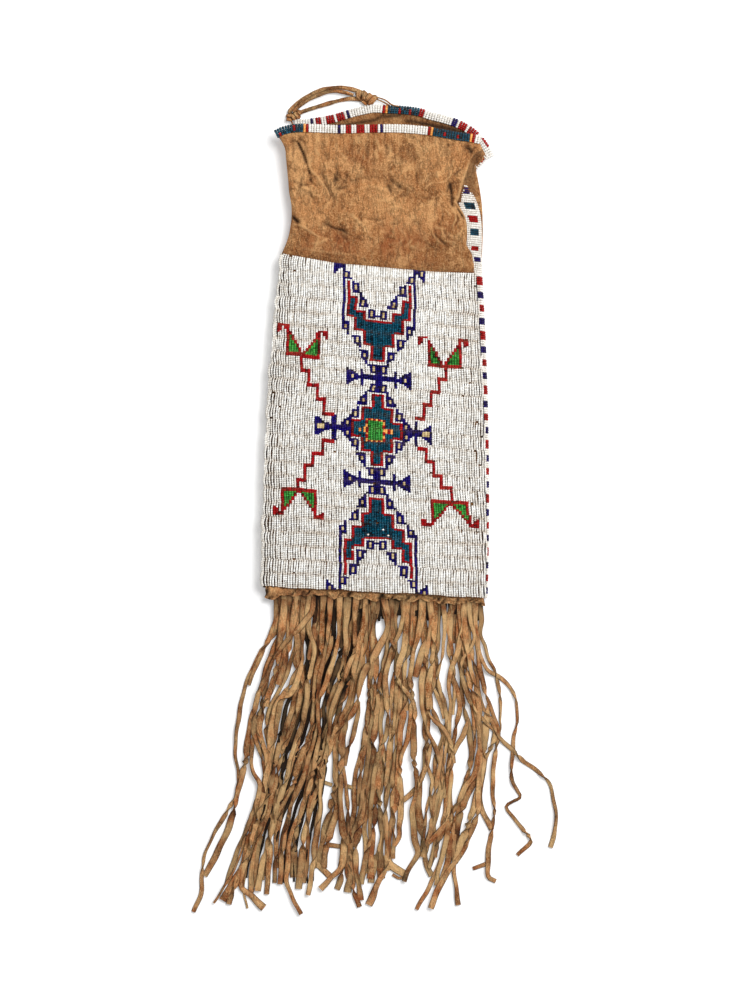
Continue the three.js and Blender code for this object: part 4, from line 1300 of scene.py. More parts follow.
def hidePouch():
    columns = np.linspace(0, 1, neck["columns"])
    across = np.sort(np.concatenate([columns, neck["edgeColumns"]]))
    sparse = across[::neck["every"]]
    up = np.linspace(0, 1, neck["rows"])
    front, frontHeights, folds, valleys = neckFront(across, up)
    back, backHeights = neckBack(sparse, up)
    low = neck["panelRows"]
    half = len(across)
    frontSide = wholeSide(behindPanel(across), front, neck["frontLevel"], frontHeights, -1)
    backSide = wholeSide(behindPanel(sparse), back, neck["backLevel"], backHeights, neck["backRound"])
    tuck = np.concatenate([np.zeros(low), plateau((0.05, 0.2), (0.9, 1), up)])[:, None]
    gusset = []
    for share, inward, drop in neck["gusset"]:
        middle = frontSide[:, -1] * (1 - share) + backSide[:, -1] * share
        gusset.append(middle - tuck * np.array([[inward, 0, drop]]))
    outer = np.concatenate([frontSide, np.stack(gusset, axis=1), backSide[:, ::-1]], axis=1)
    rows, ring = outer.shape[:2]
    towards = np.zeros_like(outer)
    lowX, highX = outer[..., 0].min(axis=1)[:, None], outer[..., 0].max(axis=1)[:, None]
    towards[..., 0] = np.clip(outer[..., 0], lowX + neck["inward"], highX - neck["inward"]) - outer[..., 0]
    towards[..., 2] = neck["middleLevel"] - outer[..., 2]
    inner = outer + neck["wall"] * unit(towards)
    inner[0] = inner[0] + (0, neck["wall"], 0)
    points = np.vstack([outer.reshape(-1, 3), inner.reshape(-1, 3)])
    piece = meshPiece("hidePouch", points, pouchFaces(rows, ring, half, len(sparse)), tannedHide)

    # Painted shade: creases and valleys, along the hem, on the hide under the bead panels, in the gusset's
    # tuck and inside the mouth; the lower neck is also a little darker towards the bottom
    hollow, rubbed, blush, plain = np.zeros((4, rows, ring))
    x, y = front[..., 0], front[..., 1]
    neckPart = (slice(low, None), slice(half))
    hollow[neckPart] = np.clip(-folds / neckShade["foldDepth"], 0, 1) * neckShade["fold"]
    hollow[neckPart] += np.clip(-valleys, 0, 1) * neckShade["valley"]
    lowPart = neckShade["low"] * (1 - smoothStep(*neckShade["lowPart"], y))
    hollow[neckPart] += lowPart + neckShade["hem"] * (1 - smoothStep(0, neckShade["hemReach"], y - hemY(x)))
    leftEdge, rightSide, rightShare = neckShade["underEdges"]
    edges = np.exp(-across / leftEdge) + rightShare * np.exp((across - 1) / rightSide)
    hollow[:low, :half] = neckShade["under"] + neckShade["underEdge"] * edges
    hollow[low, :half] = neckShade["hemRow"]
    hollow[low:, half:half + len(gusset)] = neckShade["tuck"] * tuck[low:]
    # painted highlight on the ridges of the folds, plus paler worn spots
    rubbed[neckPart] = np.clip(folds / neckShade["ridge"], 0, 1) + spread(fadedSpots, x, y)
    blush[neckPart] = spread(redSpots, x, y)
    mouthX, mouthY = back[:, ::-1, 0], back[:, ::-1, 1]
    mouthShade = neckShade["mouth"] + neckShade["mouthRight"] * smoothStep(*neckShade["rightPart"], mouthX)
    mouthShade += neckShade["mouthFold"] * nearLines(mouthShadeFolds, mouthX, mouthY)
    innerShade = np.full((rows, ring), neckShade["inside"])
    innerShade[low:, half + len(gusset):] = np.clip(mouthShade, 0, neckShade["mouthMost"])
    marks = {
        "hollow": (np.clip(hollow, 0, neckShade["most"]), innerShade),
        "rubbed": (np.clip(rubbed, 0, 1), plain), "blush": (blush, plain),
    }
    markPoints(piece.data, **{key: np.concatenate(both) for key, both in marks.items()})
    return piece


pouch = hidePouch()
dress(pouch, "hide", "hide_bag")
print("hide pouch shaped")

# Fringe: flat thongs that twist as they lie, from a crumpled header
fringe = {
    "width": 5.2, "endWidth": 4.2, "endFrom": 44, "thickness": 1.15, "firstLevel": -120.0, "levelStep": -20.0,
    "rootLevel": -126, "rootGap": 2.5, "rootLift": 4.6, "layerHeights": (1.3, 2.9, 4.4, 5.7),
    "outerHeight": 1.0, "step": 2.4, "cutEnd": 1.8, "floorGap": 0.05, "flipEvery": 38, "flipFrom": 34,
    "flipEnd": 18, "flipHalf": 7, "widthChoice": (0.78, 1.15), "widthMiddle": 0.9, "rootFlare": 0.16,
    "kinkLeast": 40, "pointLeast": 24, "point": 0.35,
    # from where to where along a thong each change takes place
    "kinkFrom": (4, 18), "twistFrom": (0, 24), "flatEnd": (-12, -2), "flareEnd": (8, 45), "pointEnd": (0, 10),
    "tipFrom": (0.55, 0.95), "rootHeld": (3, 28), "sinkFrom": (60, 190),
    # strength and length of each swing
    "kinks": ((0.3, 7.4), (0.2, 3.1)), "twists": ((0.5, 15), (0.25, 6.5)), "curls": ((0.16, 12), (0.1, 5)),
    "widths": ((0.16, 11),), "thicknesses": ((0.15, 9),),
}
# Painted shade on the thongs: darker edges (cut edges and painted shade), darker lower layers, roots and the
# shadow under the header, with random changes along each thong
thongShade = {
    "edges": [1, 0.1, 0, 0.1, 1, 0.3, 0.2, 0.3], "edge": 0.94, "change": 0.16, "layers": (0.14, 0.05, 0, 0),
    "layerChange": (-0.08, 0.07), "root": 0.4, "rootEnd": 7, "lowRoot": 0.4, "highRoot": 0.1,
    "shadowEnd": (4, 20), "most": 0.985, "worn": 0.8, "wornChange": 0.35, "blush": 0.6,
}


def row(layer, across, *end, **more):  # a thong by how far across it lies at each level, then its loose end
    return {"layer": layer, "across": across, "end": list(end), **more}


def thong(layer, width, *points, **more):
    return {"layer": layer, "width": width, "points": points, **more}


thongRows = [
    row(0, [-70, -70.3, -73.5, -79.5, -84, -86.2, -80.8, -82, -90, -98, -105], (-109, -332)),
    row(0, [-55, -56, -59, -66, -76, -80, -77, -78, -82, -88, -95], (-97, -338), (-94.5, -350), tip=0.4),
    row(0, [-44, -43, -47, -53, -60, -66.5, -72.5, -77, -82, -86, -88], (-88.5, -334)),
    row(0, [-35, -40, -46, -49.5, -55.5, -62, -66, -71, -75, -79, -82], (-83, -329)),
    row(0, [-28, -30.5, -33.5, -42.5, -49, -55, -59, -64, -69, -72.5, -74], (-74, -331)),
    row(0, [-22, -23.5, -29, -32.5, -37, -45, -51, -58, -63, -67.5, -71.5]),
    row(0, [-16, -17.5, -19.5, -23, -28.5, -37, -44, -49, -54, -59, -60], (-60, -327)),
    row(0, [-9, -6, -11, -17.5, -24.5, -31, -38.5, -45, -49.5, -49, -51], (-52.5, -331)),
    row(0, [-10, -11.5, -9, -13, -17.5, -26.5, -28.6, -30, -32.5, -38.5, -41.5]),
    row(0, [-2, -4, -5, -4, -3.6, -6.4, -10.6, -15.4, -15, -18, -20.5], (-18, -331)),
    row(0, [17, 15.5, 16, 17, 16, 14, 11.5, 9.8, 8.4, 5, 0], (-2, -331)),
    row(0, [9.5, 11, 9, 5.2, 5.3, 4.7, 7, 4.4, 4, 5.5, 5]),
    row(0, [33, 36.5, 38, 38, 38.6, 38.8, 38.5, 33.8, 33, 35.5, 39.5], (42, -326)),
    row(0, [48, 46.5, 45.7, 44.6, 52.8, 52, 46, 42.5, 39, 36], (35.5, -307)),
    row(1, [-67, -66.5, -75, -81, -88.3, -92.9, -95.6, -100, -104.8, -111.5, -121.7], (-125.5, -326)),
    row(1, [-63, -62.6, -65.5, -73, -81.5, -85.4, -80.2, -81.5, -88.8, -93.5, -98.8, -109], (-111.5, -344.5),
        bare=True),
    row(2, [-58, -58.5, -57, -59.5, -72.6, -76.2, -78, -81, -85.5, -90.5, -96.8], (-99.2, -333),
        (-97.5, -338), (-90.6, -342.7), (-83.2, -350)),
    row(1, [-52.5, -53.1, -54, -53.2, -56.5, -63, -69.5, -73.9, -78.7, -86, -90.5, -92.2]),
    row(2, [-47.5, -49, -44.8, -48.3, -50.7, -55.5, -62, -66.9, -73.4, -79, -83.2], (-86.5, -337)),
    row(1, [-37.5, -39.2, -38.8, -43.5, -44.4, -47.6, -54.6, -60.5, -71, -77.3, -78.6], (-79.5, -339.5)),
    row(2, [-32.5, -33.5, -36.8, -40.2, -42.3, -42.8, -48.8, -54.8, -63, -66.9, -69], (-70, -332)),
    row(3, [-25.5, -26.2, -28.4, -34.5, -42, -40.5, -44, -47.5, -55.8, -62.3, -64.5], (-65.4, -332),
        (-61.7, -341), (-55.1, -354.3)),
    row(1, [-19.6, -21.2, -21.2, -25.8, -32.4, -34.6, -39.9, -42.1, -47.6, -52.6, -54.5], (-55.7, -335.5)),
    row(3, [-13, -15, -14.8, -22.5, -30.5, -33.4, -36.5, -39.6, -40.6, -43.6, -46, -48.7]),
    row(2, [-6.3, -8.1, -12.3, -16, -19.4, -29, -35.5, -39.3, -41, -43, -45]),
    row(1, [1, -2, -0.8, -2.8, -1, -4, -4.8, -7.2, -10.5, -16.3, -18], (-19.5, -338)),
    row(3, [7, 9.9, 2.5, -9.4, -13, -23, -24.1, -25, -25, -22.4, -24.5], (-32, -329), (-38.5, -336.2)),
    row(1, [12.5, 12.8, 13.2, 5.3, 2, -0.2, -1.4, -4.3, -8, -13.4, -13.5], (-12, -332), (-10.5, -344)),
    row(2, [21.4, 21.3, 12.5, 8.3, 9.3, 9.2, 2.5, -1.2, -2.5, -3.8, -7.4], (-9.5, -332)),
    row(3, [25, 24, 21.4, 17.5, 29, 29.5, 29.1, 31.5, 28.2, 30], (32.4, -309.7), (30, -316), (24.2, -324.5),
        (22.5, -330)),
    row(1, [29.5, 29, 27.9, 26.2, 22.6, 19, 18.3, 16.7, 14.8, 10.8, 8.8], (4.4, -330.3), (1.1, -337.7),
        (-3.5, -347.6)),
    row(2, [36, 34.3, 29.8, 26.5, 28.5, 26, 20, 19.2, 19.6], (18.5, -290), (19, -298), (15.5, -303.5)),
    row(2, [41, 42, 39, 35.6, 35.5, 39.5, 49, 49.2, 47.5, 40], (36.5, -312)),
    row(1, [45, 44.8, 43.4, 44.7, 41.8, 51, 56, 56.6, 56.5, 59.3, 59], (60.3, -335), (62.2, -347.5)),
    row(2, [50.5, 52.3, 51, 47, 52, 54.2, 52.5, 49, 45, 44.7, 41]),
    row(1, [60, 54.8, 58, 58, 63.8, 60, 55.8, 54.4, 52.5, 47.5], (45, -312)),
    row(2, [66.5, 66.1, 61.8, 55.8, 56.4, 55.2, 57.4, 56.3, 55.3, 53.3, 48.8], (46, -333)),
    row(1, [71.5, 70, 72, 76, 79.8, 89.8, 83.4, 79.5], (78, -270), (80.9, -280), (86.6, -291.5)),
    row(2, [75.5, 75.2, 76.6, 79.8, 85, 92.3, 89.2, 88, 89.2, 86, 84.5], (85, -328.5), (88.6, -331)),
    row(0, [68.5, 64.5, 64, 65, 66.3, 70.5, 72, 66.8, 58.3, 48], (42, -318.7)),
    row(3, [67, 66.5, 69.5, 73, 77.5, 77.6, 78.6, 77.5, 76.5, 70], (66.5, -309), (57.5, -320), (49.5, -333),
        (42.5, -350)),
    row(1, [63.2, 62, 61.8, 65, 72.5, 74.5, 73, 67, 62, 53.5, 47], (40.4, -337), (32.2, -351)),
]
looseThongs = [
    thong(1, 4.4, (-73.5, -120), (-72.6, -134), (-73, -146), (-79, -153), (-85, -162), (-90.5, -172),
        (-94, -180), (-98, -196), (-100.5, -208), (-102.6, -220), (-103.2, -236), (-101.3, -250),
        (-102.6, -265), (-108.7, -279), (-117.8, -294), (-125.2, -309), (-127.7, -323), (-128.5, -339),
        (-134, -352.6)),
    thong(3, 4.4, (-45, -120), (-46.5, -131), (-54, -141), (-62, -150), (-70.5, -160), (-76.8, -170),
        (-80.8, -180), (-85.5, -190), (-87.8, -202), (-90, -220), (-91, -238), (-89.8, -250), (-85, -259),
        (-86.5, -268), (-91, -283), (-96.3, -299), (-102, -318), (-109, -332), (-118.4, -346), tip=0.45),
    thong(3, 3.8, (70, -122), (71, -138), (74.3, -149), (71.5, -159), (66, -166), (64, -173), (65.5, -182),
        (69, -193), (76, -205), (85, -216), (93, -225), (103, -234.3), (112, -243), (124, -252.5),
        (130, -259), (133.5, -271), (135, -287), (131.3, -304.8)),
    thong(2, 3.6, (74, -122), (74.5, -138), (77.3, -151), (78.6, -164), (83.5, -174), (93, -180), (101, -187),
        (105, -197), (106, -211), (104, -224), (102.9, -238), (101.5, -255), (106, -263.5), (108.6, -269),
        (103, -272.5), (98.3, -276.7), (104, -285.7), (111, -294), (116.3, -302.5), (107.5, -311)),
    thong(1, 3.2, (78.3, -124), (79.3, -138), (79, -149), (82.5, -157), (85.5, -168), (89.5, -176),
        (92, -187), (94.2, -200), (93.3, -212), (94, -218), (91, -228), tip=0.35),
    thong(1, 5.2, (25.5, -120), (26, -140), (25.4, -155), (23.5, -170), (22, -184), (24, -203)),
    thong(2, 5.6, (44, -120), (44.6, -140), (44.4, -152), (42, -172), (40.6, -186), (41, -202)),
    thong(1, 4.2, (57, -120), (57.4, -136), (56.4, -150), (55, -162), (58.8, -174), (60, -186), (58, -206)),
    thong(2, 5, (64.5, -120), (64.8, -138), (66.5, -160), (69.8, -180), (74.8, -200), (78.2, -216),
        (79, -232)),
    thong(1, 4.5, (84.5, -200), (83.2, -214), (81.6, -230), (80.2, -250)),
    thong(3, 6, (77.8, -232), (76.4, -244), (73, -254), (67.8, -262), (61.2, -276), (54.3, -286), (47, -296),
        (41, -302)),
    thong(2, 4, (43, -226), (38.5, -245), (33.5, -259), (28, -266), (22.5, -270.5)),
    thong(1, 4.6, (9, -312), (11, -318.5), (15.5, -322), (21.5, -325.6)),
    thong(0, 3.2, (22.5, -328.5), (18.5, -329.5), (15, -327.5)),
    thong(2, 5, (51, -228), (47.5, -250), (45.5, -262), (44.5, -276), (41, -294), (38, -306)),
    thong(2, 4.4, (38.5, -234), (39.5, -246), (43, -257), (41.5, -268), (44, -282)),
    thong(2, 4, (70, -210), (66, -223), (61, -231), (57, -240), (53, -254), (52, -268)),
    thong(3, 3.2, (40.5, -206), (43, -210.5), (52, -219.5), (57, -229), (59, -242)),
    thong(1, 6, (6, -222), (5, -236), (3.5, -255), (1, -272), (-0.5, -290), (-1.5, -306), (-3, -328)),
    thong(1, 5, (12, -222), (11, -236), (9.5, -252), (8.6, -268), (8.2, -284), (9.5, -300), (9.5, -322)),
    thong(0, 5, (-3, -250), (-4, -262), (-5.5, -278), (-7, -292), (-6, -308), (-6.5, -324)),
    thong(1, 4.4, (-24.5, -240), (-21.8, -256), (-19.8, -272), (-19.8, -288), (-19, -304)),
    thong(1, 5.5, (78.5, -246), (75, -256), (70.5, -266), (65.5, -276), (62, -288), (60, -302)),
    thong(1, 4, (-89, -208), (-88.5, -222), (-86, -232), (-82.8, -243), (-82, -252)),
    thong(1, 3, (14.6, -176), (13.2, -190), (12.6, -206), (11.6, -222)),
    thong(1, 3.4, (43, -186), (45, -190), (49, -199), (51.5, -209)),
    thong(0, 4.4, (47.8, -121), (48, -136), (47.2, -150), (46.2, -166), (45.8, -178)),
    thong(0, 4, (59, -121), (59.4, -138), (58.8, -153)),
    thong(0, 5, (2, -312), (4, -320), (5, -328)),
    thong(1, 4, (-26.5, -220), (-29.5, -236), (-28.2, -250), (-27.8, -264), (-28.5, -282)),
    thong(1, 5, (-6, -212), (-7, -226), (-9, -240), (-10.5, -256), (-12, -274)),
    thong(1, 6, (-24.5, -264), (-27, -276), (-30.5, -288), (-34, -299), (-36.5, -310), (-37.5, -320)),
    thong(2, 6, (82, -236), (79, -255), (75.5, -268), (72.8, -280.5), (69, -293), (63.5, -305), (60, -316)),
    thong(1, 5, (57, -296), (56, -306), (54.5, -318), (50, -330)),
    thong(1, 4.5, (-11, -198), (-12, -207), (-15.5, -222), (-20, -234), (-22, -244)),
    thong(2, 4.5, (39.5, -150), (36, -159), (33.5, -168), (30.8, -178)),
    thong(0, 5, (-21, -290), (-22, -300), (-23.5, -314), (-25, -328), (-27.5, -336)),
    thong(1, 6, (-20, -304), (-18.5, -318), (-17, -330), (-15, -340), (-11.5, -349)),
    thong(2, 4.6, (-53, -164), (-55.5, -176), (-59, -186), (-64, -193), (-69.6, -200), (-72, -212),
        (-74, -224), (-76.5, -238), (-79.5, -252)),
    thong(2, 5.2, (-66.5, -122), (-68.5, -142), (-70, -156), (-72.5, -170), (-76, -184), (-80, -200)),
    thong(1, 4, (-73, -122), (-74, -138), (-78, -150), (-82, -160), (-88, -172), (-93, -184)),
    thong(2, 4.6, (-57.5, -122), (-60.5, -142), (-63, -156), (-66.4, -170), (-70.5, -184)),
    thong(1, 4, (-5.6, -122), (-6.4, -142), (-6.6, -156), (-8, -170), (-9, -184)),
    thong(1, 4.6, (-1.5, -144), (0, -158), (1.4, -170), (0.8, -184), (-0.5, -198), (-2, -214)),
    thong(1, 4.5, (21, -172), (19.4, -188), (18.4, -208), (16.6, -224), (14.5, -242), (13.8, -256),
        (13.6, -270), (13.2, -284), (14.6, -298), (14, -313)),
    thong(1, 5, (-94, -304), (-97, -316), (-101, -328), (-104.5, -338), (-107.5, -347)),
    thong(1, 4.5, (3, -121), (2, -130), (-0.5, -140), (-3, -152)),
    thong(1, 4.5, (6.3, -121), (7.8, -130), (9.8, -140), (11, -152)),
    thong(0, 3.4, (-39, -257.6), (-33, -259.6)),
    thong(0, 3.2, (-22.5, -260.6), (-16, -262.5), (-11.2, -267.5)),
    thong(0, 4.6, (-34.5, -304.6), (-24, -306)),
    thong(0, 6, (-44, -317.5), (-33, -328)),
    thong(0, 2.8, (73.2, -322.3), (83, -318.8)),
]
# Back-layer thongs, painted dark as the shade between their neighbours
underThong = {
    "form": {"width": 4.4, "tip": 0.4}, "leftOf": -4, "farthest": 17, "farthestRight": 7,
    "shorter": (0.2, 0.8), "rightLength": (0.6, 0.85), "shift": (-1.5, 1), "dark": (0.6, 0.8),
}


def underThongs():  # thongs of the back layer, in the shade between their neighbours
    top = [facts for facts in thongRows if facts["layer"] > 0]
    found = []
    for one, two in zip(top, top[1:]):
        leftward = np.mean(one["across"][:4]) < underThong["leftOf"]
        count = min(len(one["across"]), len(two["across"])) if leftward else 1
        across = [(a + b) / 2 for a, b in zip(one["across"], two["across"])][:count]
        apart = max(abs(a - b) for a, b in zip(one["across"][:count], two["across"]))
        if apart < underThong["farthest" if leftward else "farthestRight"] and not one.get("bare"):
            chosen = dice.uniform(*underThong["shorter" if leftward else "rightLength"])
            drop = fringe["levelStep"] * (count - chosen if leftward else chosen)
            last = (across[-1] + dice.uniform(*underThong["shift"]), fringe["firstLevel"] + drop)
            found.append(row(0, across, last, dark=dice.uniform(*underThong["dark"]), **underThong["form"]))
    return found


thongRows += underThongs()

# A strip's section: across, as a share of its width, and up, as a share of its thickness
stripSection = [
    (0.5, 0), (0.36, 0.5), (0.05, 0.62), (-0.36, 0.5), (-0.5, 0), (-0.36, -0.5), (-0.05, -0.62), (0.36, -0.5),
]


def layOf(rings, number):  # where each point lies on its strip: across, along and which strip, in millimetres
    usualWidth, apart = 5, 9.7
    lay = np.zeros(rings.shape)
    lay[..., 0] = usualWidth * np.array([aside for aside, _ in stripSection])[None, :]
    lay[..., 1] = reachAlong(rings.mean(axis=1))[:, None]
    lay[..., 2] = apart * number
    return lay.reshape(-1, 3)


def ribbon(points, width, thickness, twist, curl=0.0):  # rings of a flat strip that turns about its own line
    tangent = unit(np.gradient(points, axis=0))
    flat = unit(np.cross(tangent, np.tile([0, 0, 1.0], (len(points), 1))))
    rise = unit(np.cross(flat, tangent))
    across = flat * np.cos(twist)[:, None] + rise * np.sin(twist)[:, None]
    through = unit(np.cross(across, tangent))
    bent = np.broadcast_to(np.asarray(curl, float), width.shape) * width
    rings = []
    for aside, above in stripSection:
        lifted = thickness * above + bent * (aside * aside * 4 - 0.5)
        rings.append(points + across * (width * aside)[:, None] + through * lifted[:, None])
    return np.stack(rings, axis=1)


def offFloor(rings):
    rings[..., 2] = np.maximum(rings[..., 2], fringe["floorGap"])
    return rings


def tubes(parts):  # points and faces of closed tubes, one after the other
    faces = []
    start = 0
    for rings in parts:
        rows, ring = rings.shape[:2]
        end = start + rows * ring
        faces += gridFaces(rows, ring, start)
        faces += [tuple(range(start, start + ring))[::-1], tuple(range(end - ring, end))]
        start = end
    return np.vstack([rings.reshape(-1, 3) for rings in parts]), faces


def bottomEdge(x):
    return laneY(panel["lanes"], x)


def thongRoute(facts):
    if "points" in facts:
        return facts["points"]
    levels = [fringe["firstLevel"] + fringe["levelStep"] * i for i in range(len(facts["across"]))]
    levels[0] = bottomEdge(facts["across"][0]) - fringe["rootGap"]
    return list(zip(facts["across"], levels)) + facts["end"]


def thongTwist(reach, length, phase):  # slow swings and a few whole turns, flat again at the cut end
    twist = waves(reach, fringe["twists"], phase)
    half = fringe["flipHalf"]
    lastFlip = max(fringe["flipFrom"] + 2, length - fringe["flipEnd"])
    for flip in dice.uniform(fringe["flipFrom"], lastFlip, int(length / fringe["flipEvery"])):
        twist = twist + np.sign(dice.normal()) * math.pi * smoothStep(flip - half, flip + half, reach)
    settled = np.round(twist[-1] / math.pi) * math.pi
    ending = smoothStep(*fringe["flatEnd"], reach - length)
    return twist * smoothStep(*fringe["twistFrom"], reach) * (1 - ending) + settled * ending


pile = {
    "top": -124, "sink": 0.45, "rightY": [-300, -130], "rightX": [70, 79], "leftY": [-340, -130],
    "leftX": [-112, -74], "outside": (4, 16), "rootShare": 0.3,
}


def thongLie(facts, route, reach, rooted):  # a height that sinks towards the end and outside the pile
    x, y = route[:, 0], route[:, 1]
    below = max(0, pile["top"] - y[0])
    sunk = pile["sink"] * smoothStep(*fringe["sinkFrom"], reach + below)
    lie = fringe["layerHeights"][facts["layer"]] * (1 - sunk)
    pastRight = x - np.interp(y, pile["rightY"], pile["rightX"])
    pastLeft = np.interp(y, pile["leftY"], pile["leftX"]) - x
    outside = smoothStep(*pile["outside"], np.maximum(pastRight, pastLeft))
    lie = lie * (1 - outside) + fringe["outerHeight"] * outside
    if rooted:
        held = 1 - smoothStep(*fringe["rootHeld"], reach)
        lie = lie * (1 - held) + (pile["rootShare"] * lie + fringe["rootLift"]) * held
    return lie


def thongRings(facts):
    corners = np.array(thongRoute(facts), float)
    corners[-1] += fringe["cutEnd"] * unit(corners[-1] - corners[-2])
    length = strides(routeThrough(corners, 60)).sum()
    count = max(5, int(length / fringe["step"]))
    route = routeThrough(corners, count)
    t = np.linspace(0, 1, count)
    reach = t * length
    phase = dice.uniform(0, 6.28, 6)
    aside = unit(np.gradient(route, axis=0))[:, ::-1] * (1, -1)
    kink = waves(reach, fringe["kinks"], phase[4:]) * smoothStep(*fringe["kinkFrom"], reach)
    if length > fringe["kinkLeast"]:
        route = route + aside * kink[:, None]
    rooted = route[0, 1] > fringe["rootLevel"]
    twist = thongTwist(reach, length, phase)
    usual = fringe["width" if route[0, 0] < fringe["endFrom"] else "endWidth"]
    width = facts.get("width", usual) * dice.uniform(*fringe["widthChoice"])
    width = width * (fringe["widthMiddle"] + waves(reach, fringe["widths"], phase[2:]))
    width = width * (1 + fringe["rootFlare"] * (1 - smoothStep(*fringe["flareEnd"], reach)))
    width = width * (1 - (1 - facts.get("tip", 1)) * smoothStep(*fringe["tipFrom"], t))
    if not rooted and length > fringe["pointLeast"]:
        width = width * (fringe["point"] + (1 - fringe["point"]) * smoothStep(*fringe["pointEnd"], reach))
    thickness = fringe["thickness"] * (1 + waves(reach, fringe["thicknesses"], phase[3:]))
    curl = waves(reach, fringe["curls"], (phase[1], phase[3]))
    lowest = 0.5 * width * (np.abs(np.sin(twist)) + np.abs(curl)) + 0.55 * thickness + 0.1
    z = np.maximum(thongLie(facts, route, reach, rooted), lowest)
    return offFloor(ribbon(np.column_stack([route, z]), width, thickness, twist, curl))


header = {
    "left": -80.5, "right": 81, "columns": 320, "rows": 14, "drop": 6.5, "lump": 3.4, "rollX": -76,
    "rollReach": 7, "rollDrop": 2.5, "overlap": 0.8, "top": 8.6, "under": 4.6, "underShade": 0.8,
    "sway": 2.4, "pleat": 1.2, "fine": 0.6, "most": 0.92, "rubbed": 0.3, "blush": 0.7, "blushX": -56,
    "blushReach": 14, "bulge": 1.6, "rollBulge": 2, "slope": 1.6, "underSlope": 0.5, "underShift": 0.4,
    "shade": 0.32, "hemShade": 0.7, "crumpleShade": 0.8, "rootShade": 0.3,
}


def headerBand():  # the crumpled strip that the thongs are cut from, between the hem and their roots
    across, rows = header["columns"], header["rows"]
    points = np.zeros((across, 2 * rows, 3))
    shade = np.full((across, 2 * rows), header["underShade"])
    for i, place in enumerate(np.linspace(header["left"], header["right"], across)):
        lump = noise.noise(Vector((place / 6.5, 1.7, 0)))
        roll = math.exp(-((place - header["rollX"]) / header["rollReach"]) ** 2)
        drop = header["drop"] + header["lump"] * lump + header["rollDrop"] * roll
        for j, share in enumerate(np.linspace(0, 1, rows)):
            sway = header["sway"] * noise.noise(Vector((place / 7, share * 2.2, 4.4)))
            pleat = 1 - 2.6 * abs(noise.noise(Vector((place / 3.8 + share, share * 0.9, 2.2))))
            fine = noise.noise(Vector((place / 1.5, share * 5, 8.8)))
            crumple = header["pleat"] * pleat + header["fine"] * fine
            swell = header["bulge"] + header["rollBulge"] * roll
            bulge = swell * math.sin(math.pi * min(1, share + 0.15))
            x, y = place + sway * share, bottomEdge(place) + header["overlap"] - drop * share
            points[i, j] = (x, y, header["top"] - header["slope"] * share + bulge + crumple)
            under = header["under"] + header["underSlope"] * share
            points[i, 2 * rows - 1 - j] = (x, y + header["underShift"], under)
            # painted shade under the hem, in the crumples' hollows and towards the roots, and a painted
            # highlight on the raised crumples
            dark = header["hemShade"] * (share < 0.1) - header["crumpleShade"] * crumple
            dark = dark + header["shade"] + header["rootShade"] * share**3
            shade[i, j] = np.clip(dark, 0, header["most"])
    return points, shade


# Cut ends under the header, painted dark as shade
stub = {
    "from": -64, "to": 75, "every": 5.5, "lean": (-1.5, 1.5), "bend": 7, "ends": (-137, -131),
    "width": 4.8, "dark": 0.8,
}


def rootStubs():  # short cut ends that hang close under the header, behind the first thongs
    found = []
    for across in np.arange(stub["from"], stub["to"], stub["every"]):
        top = bottomEdge(across) - fringe["rootGap"]
        lean = dice.uniform(*stub["lean"])
        end = (across + lean, dice.uniform(*stub["ends"]))
        bend = (across + 0.5 * lean, top - stub["bend"])
        found.append(thong(0, stub["width"], (across, top), bend, end, dark=stub["dark"]))
    return found


looseThongs += rootStubs()


def fringeThongs():
    parts = []
    marks = {"hollow": [], "rubbed": [], "blush": [], "lay": []}
    edges = thongShade["edge"] * np.array(thongShade["edges"])[None, :]
    for number, facts in enumerate(thongRows + looseThongs):
        rings = thongRings(facts)
        parts.append(rings)
        marks["lay"].append(layOf(rings, number))
        change = softNoise(len(rings), 1.0)
        shade = edges + thongShade["change"] * np.clip(change, 0, 3)[:, None]
        if rings[0, 0, 1] > fringe["rootLevel"]:
            down = fringe["step"] * np.arange(len(rings))[:, None]
            root = thongShade["root"] * (1 - smoothStep(0, thongShade["rootEnd"], down))
            shadow = thongShade["lowRoot" if facts["layer"] < 2 else "highRoot"]
            shade = shade + (root + shadow * (1 - smoothStep(*thongShade["shadowEnd"], down)))
        # painted shade: lower layers and the back thongs are darker
        depth = thongShade["layers"][facts["layer"]] + facts.get("dark", 0)
        depth = depth + dice.uniform(*thongShade["layerChange"])
        marks["hollow"].append(np.clip(shade + depth, 0, thongShade["most"]).ravel())
        worn = np.clip(dice.uniform(0, thongShade["worn"]) - thongShade["wornChange"] * change, 0, 1)
        marks["rubbed"].append(np.repeat(worn, len(stripSection)))
        marks["blush"].append(np.full(rings[..., 0].size, dice.uniform(0, thongShade["blush"])))
    band, bandShade = headerBand()
    parts.append(band)
    marks["lay"].append(band.reshape(-1, 3))
    marks["hollow"].append(bandShade.ravel())
    marks["rubbed"].append(np.full(bandShade.size, header["rubbed"]))
    fromBlush = (band[..., 0].ravel() - header["blushX"]) / header["blushReach"]
    marks["blush"].append(header["blush"] * np.exp(-fromBlush**2))
    piece = meshPiece("fringeThongs", *tubes(parts), thongHide)
    piece.data.polygons.foreach_set("use_smooth", [False] * len(piece.data.polygons))
    markPoints(piece.data, **{key: np.concatenate(values) for key, values in marks.items()})
    return piece


thongs = fringeThongs()
dress(thongs, "thong_hide", "fringe")
print("fringe laid:", len(thongRows) + len(looseThongs), "thongs")

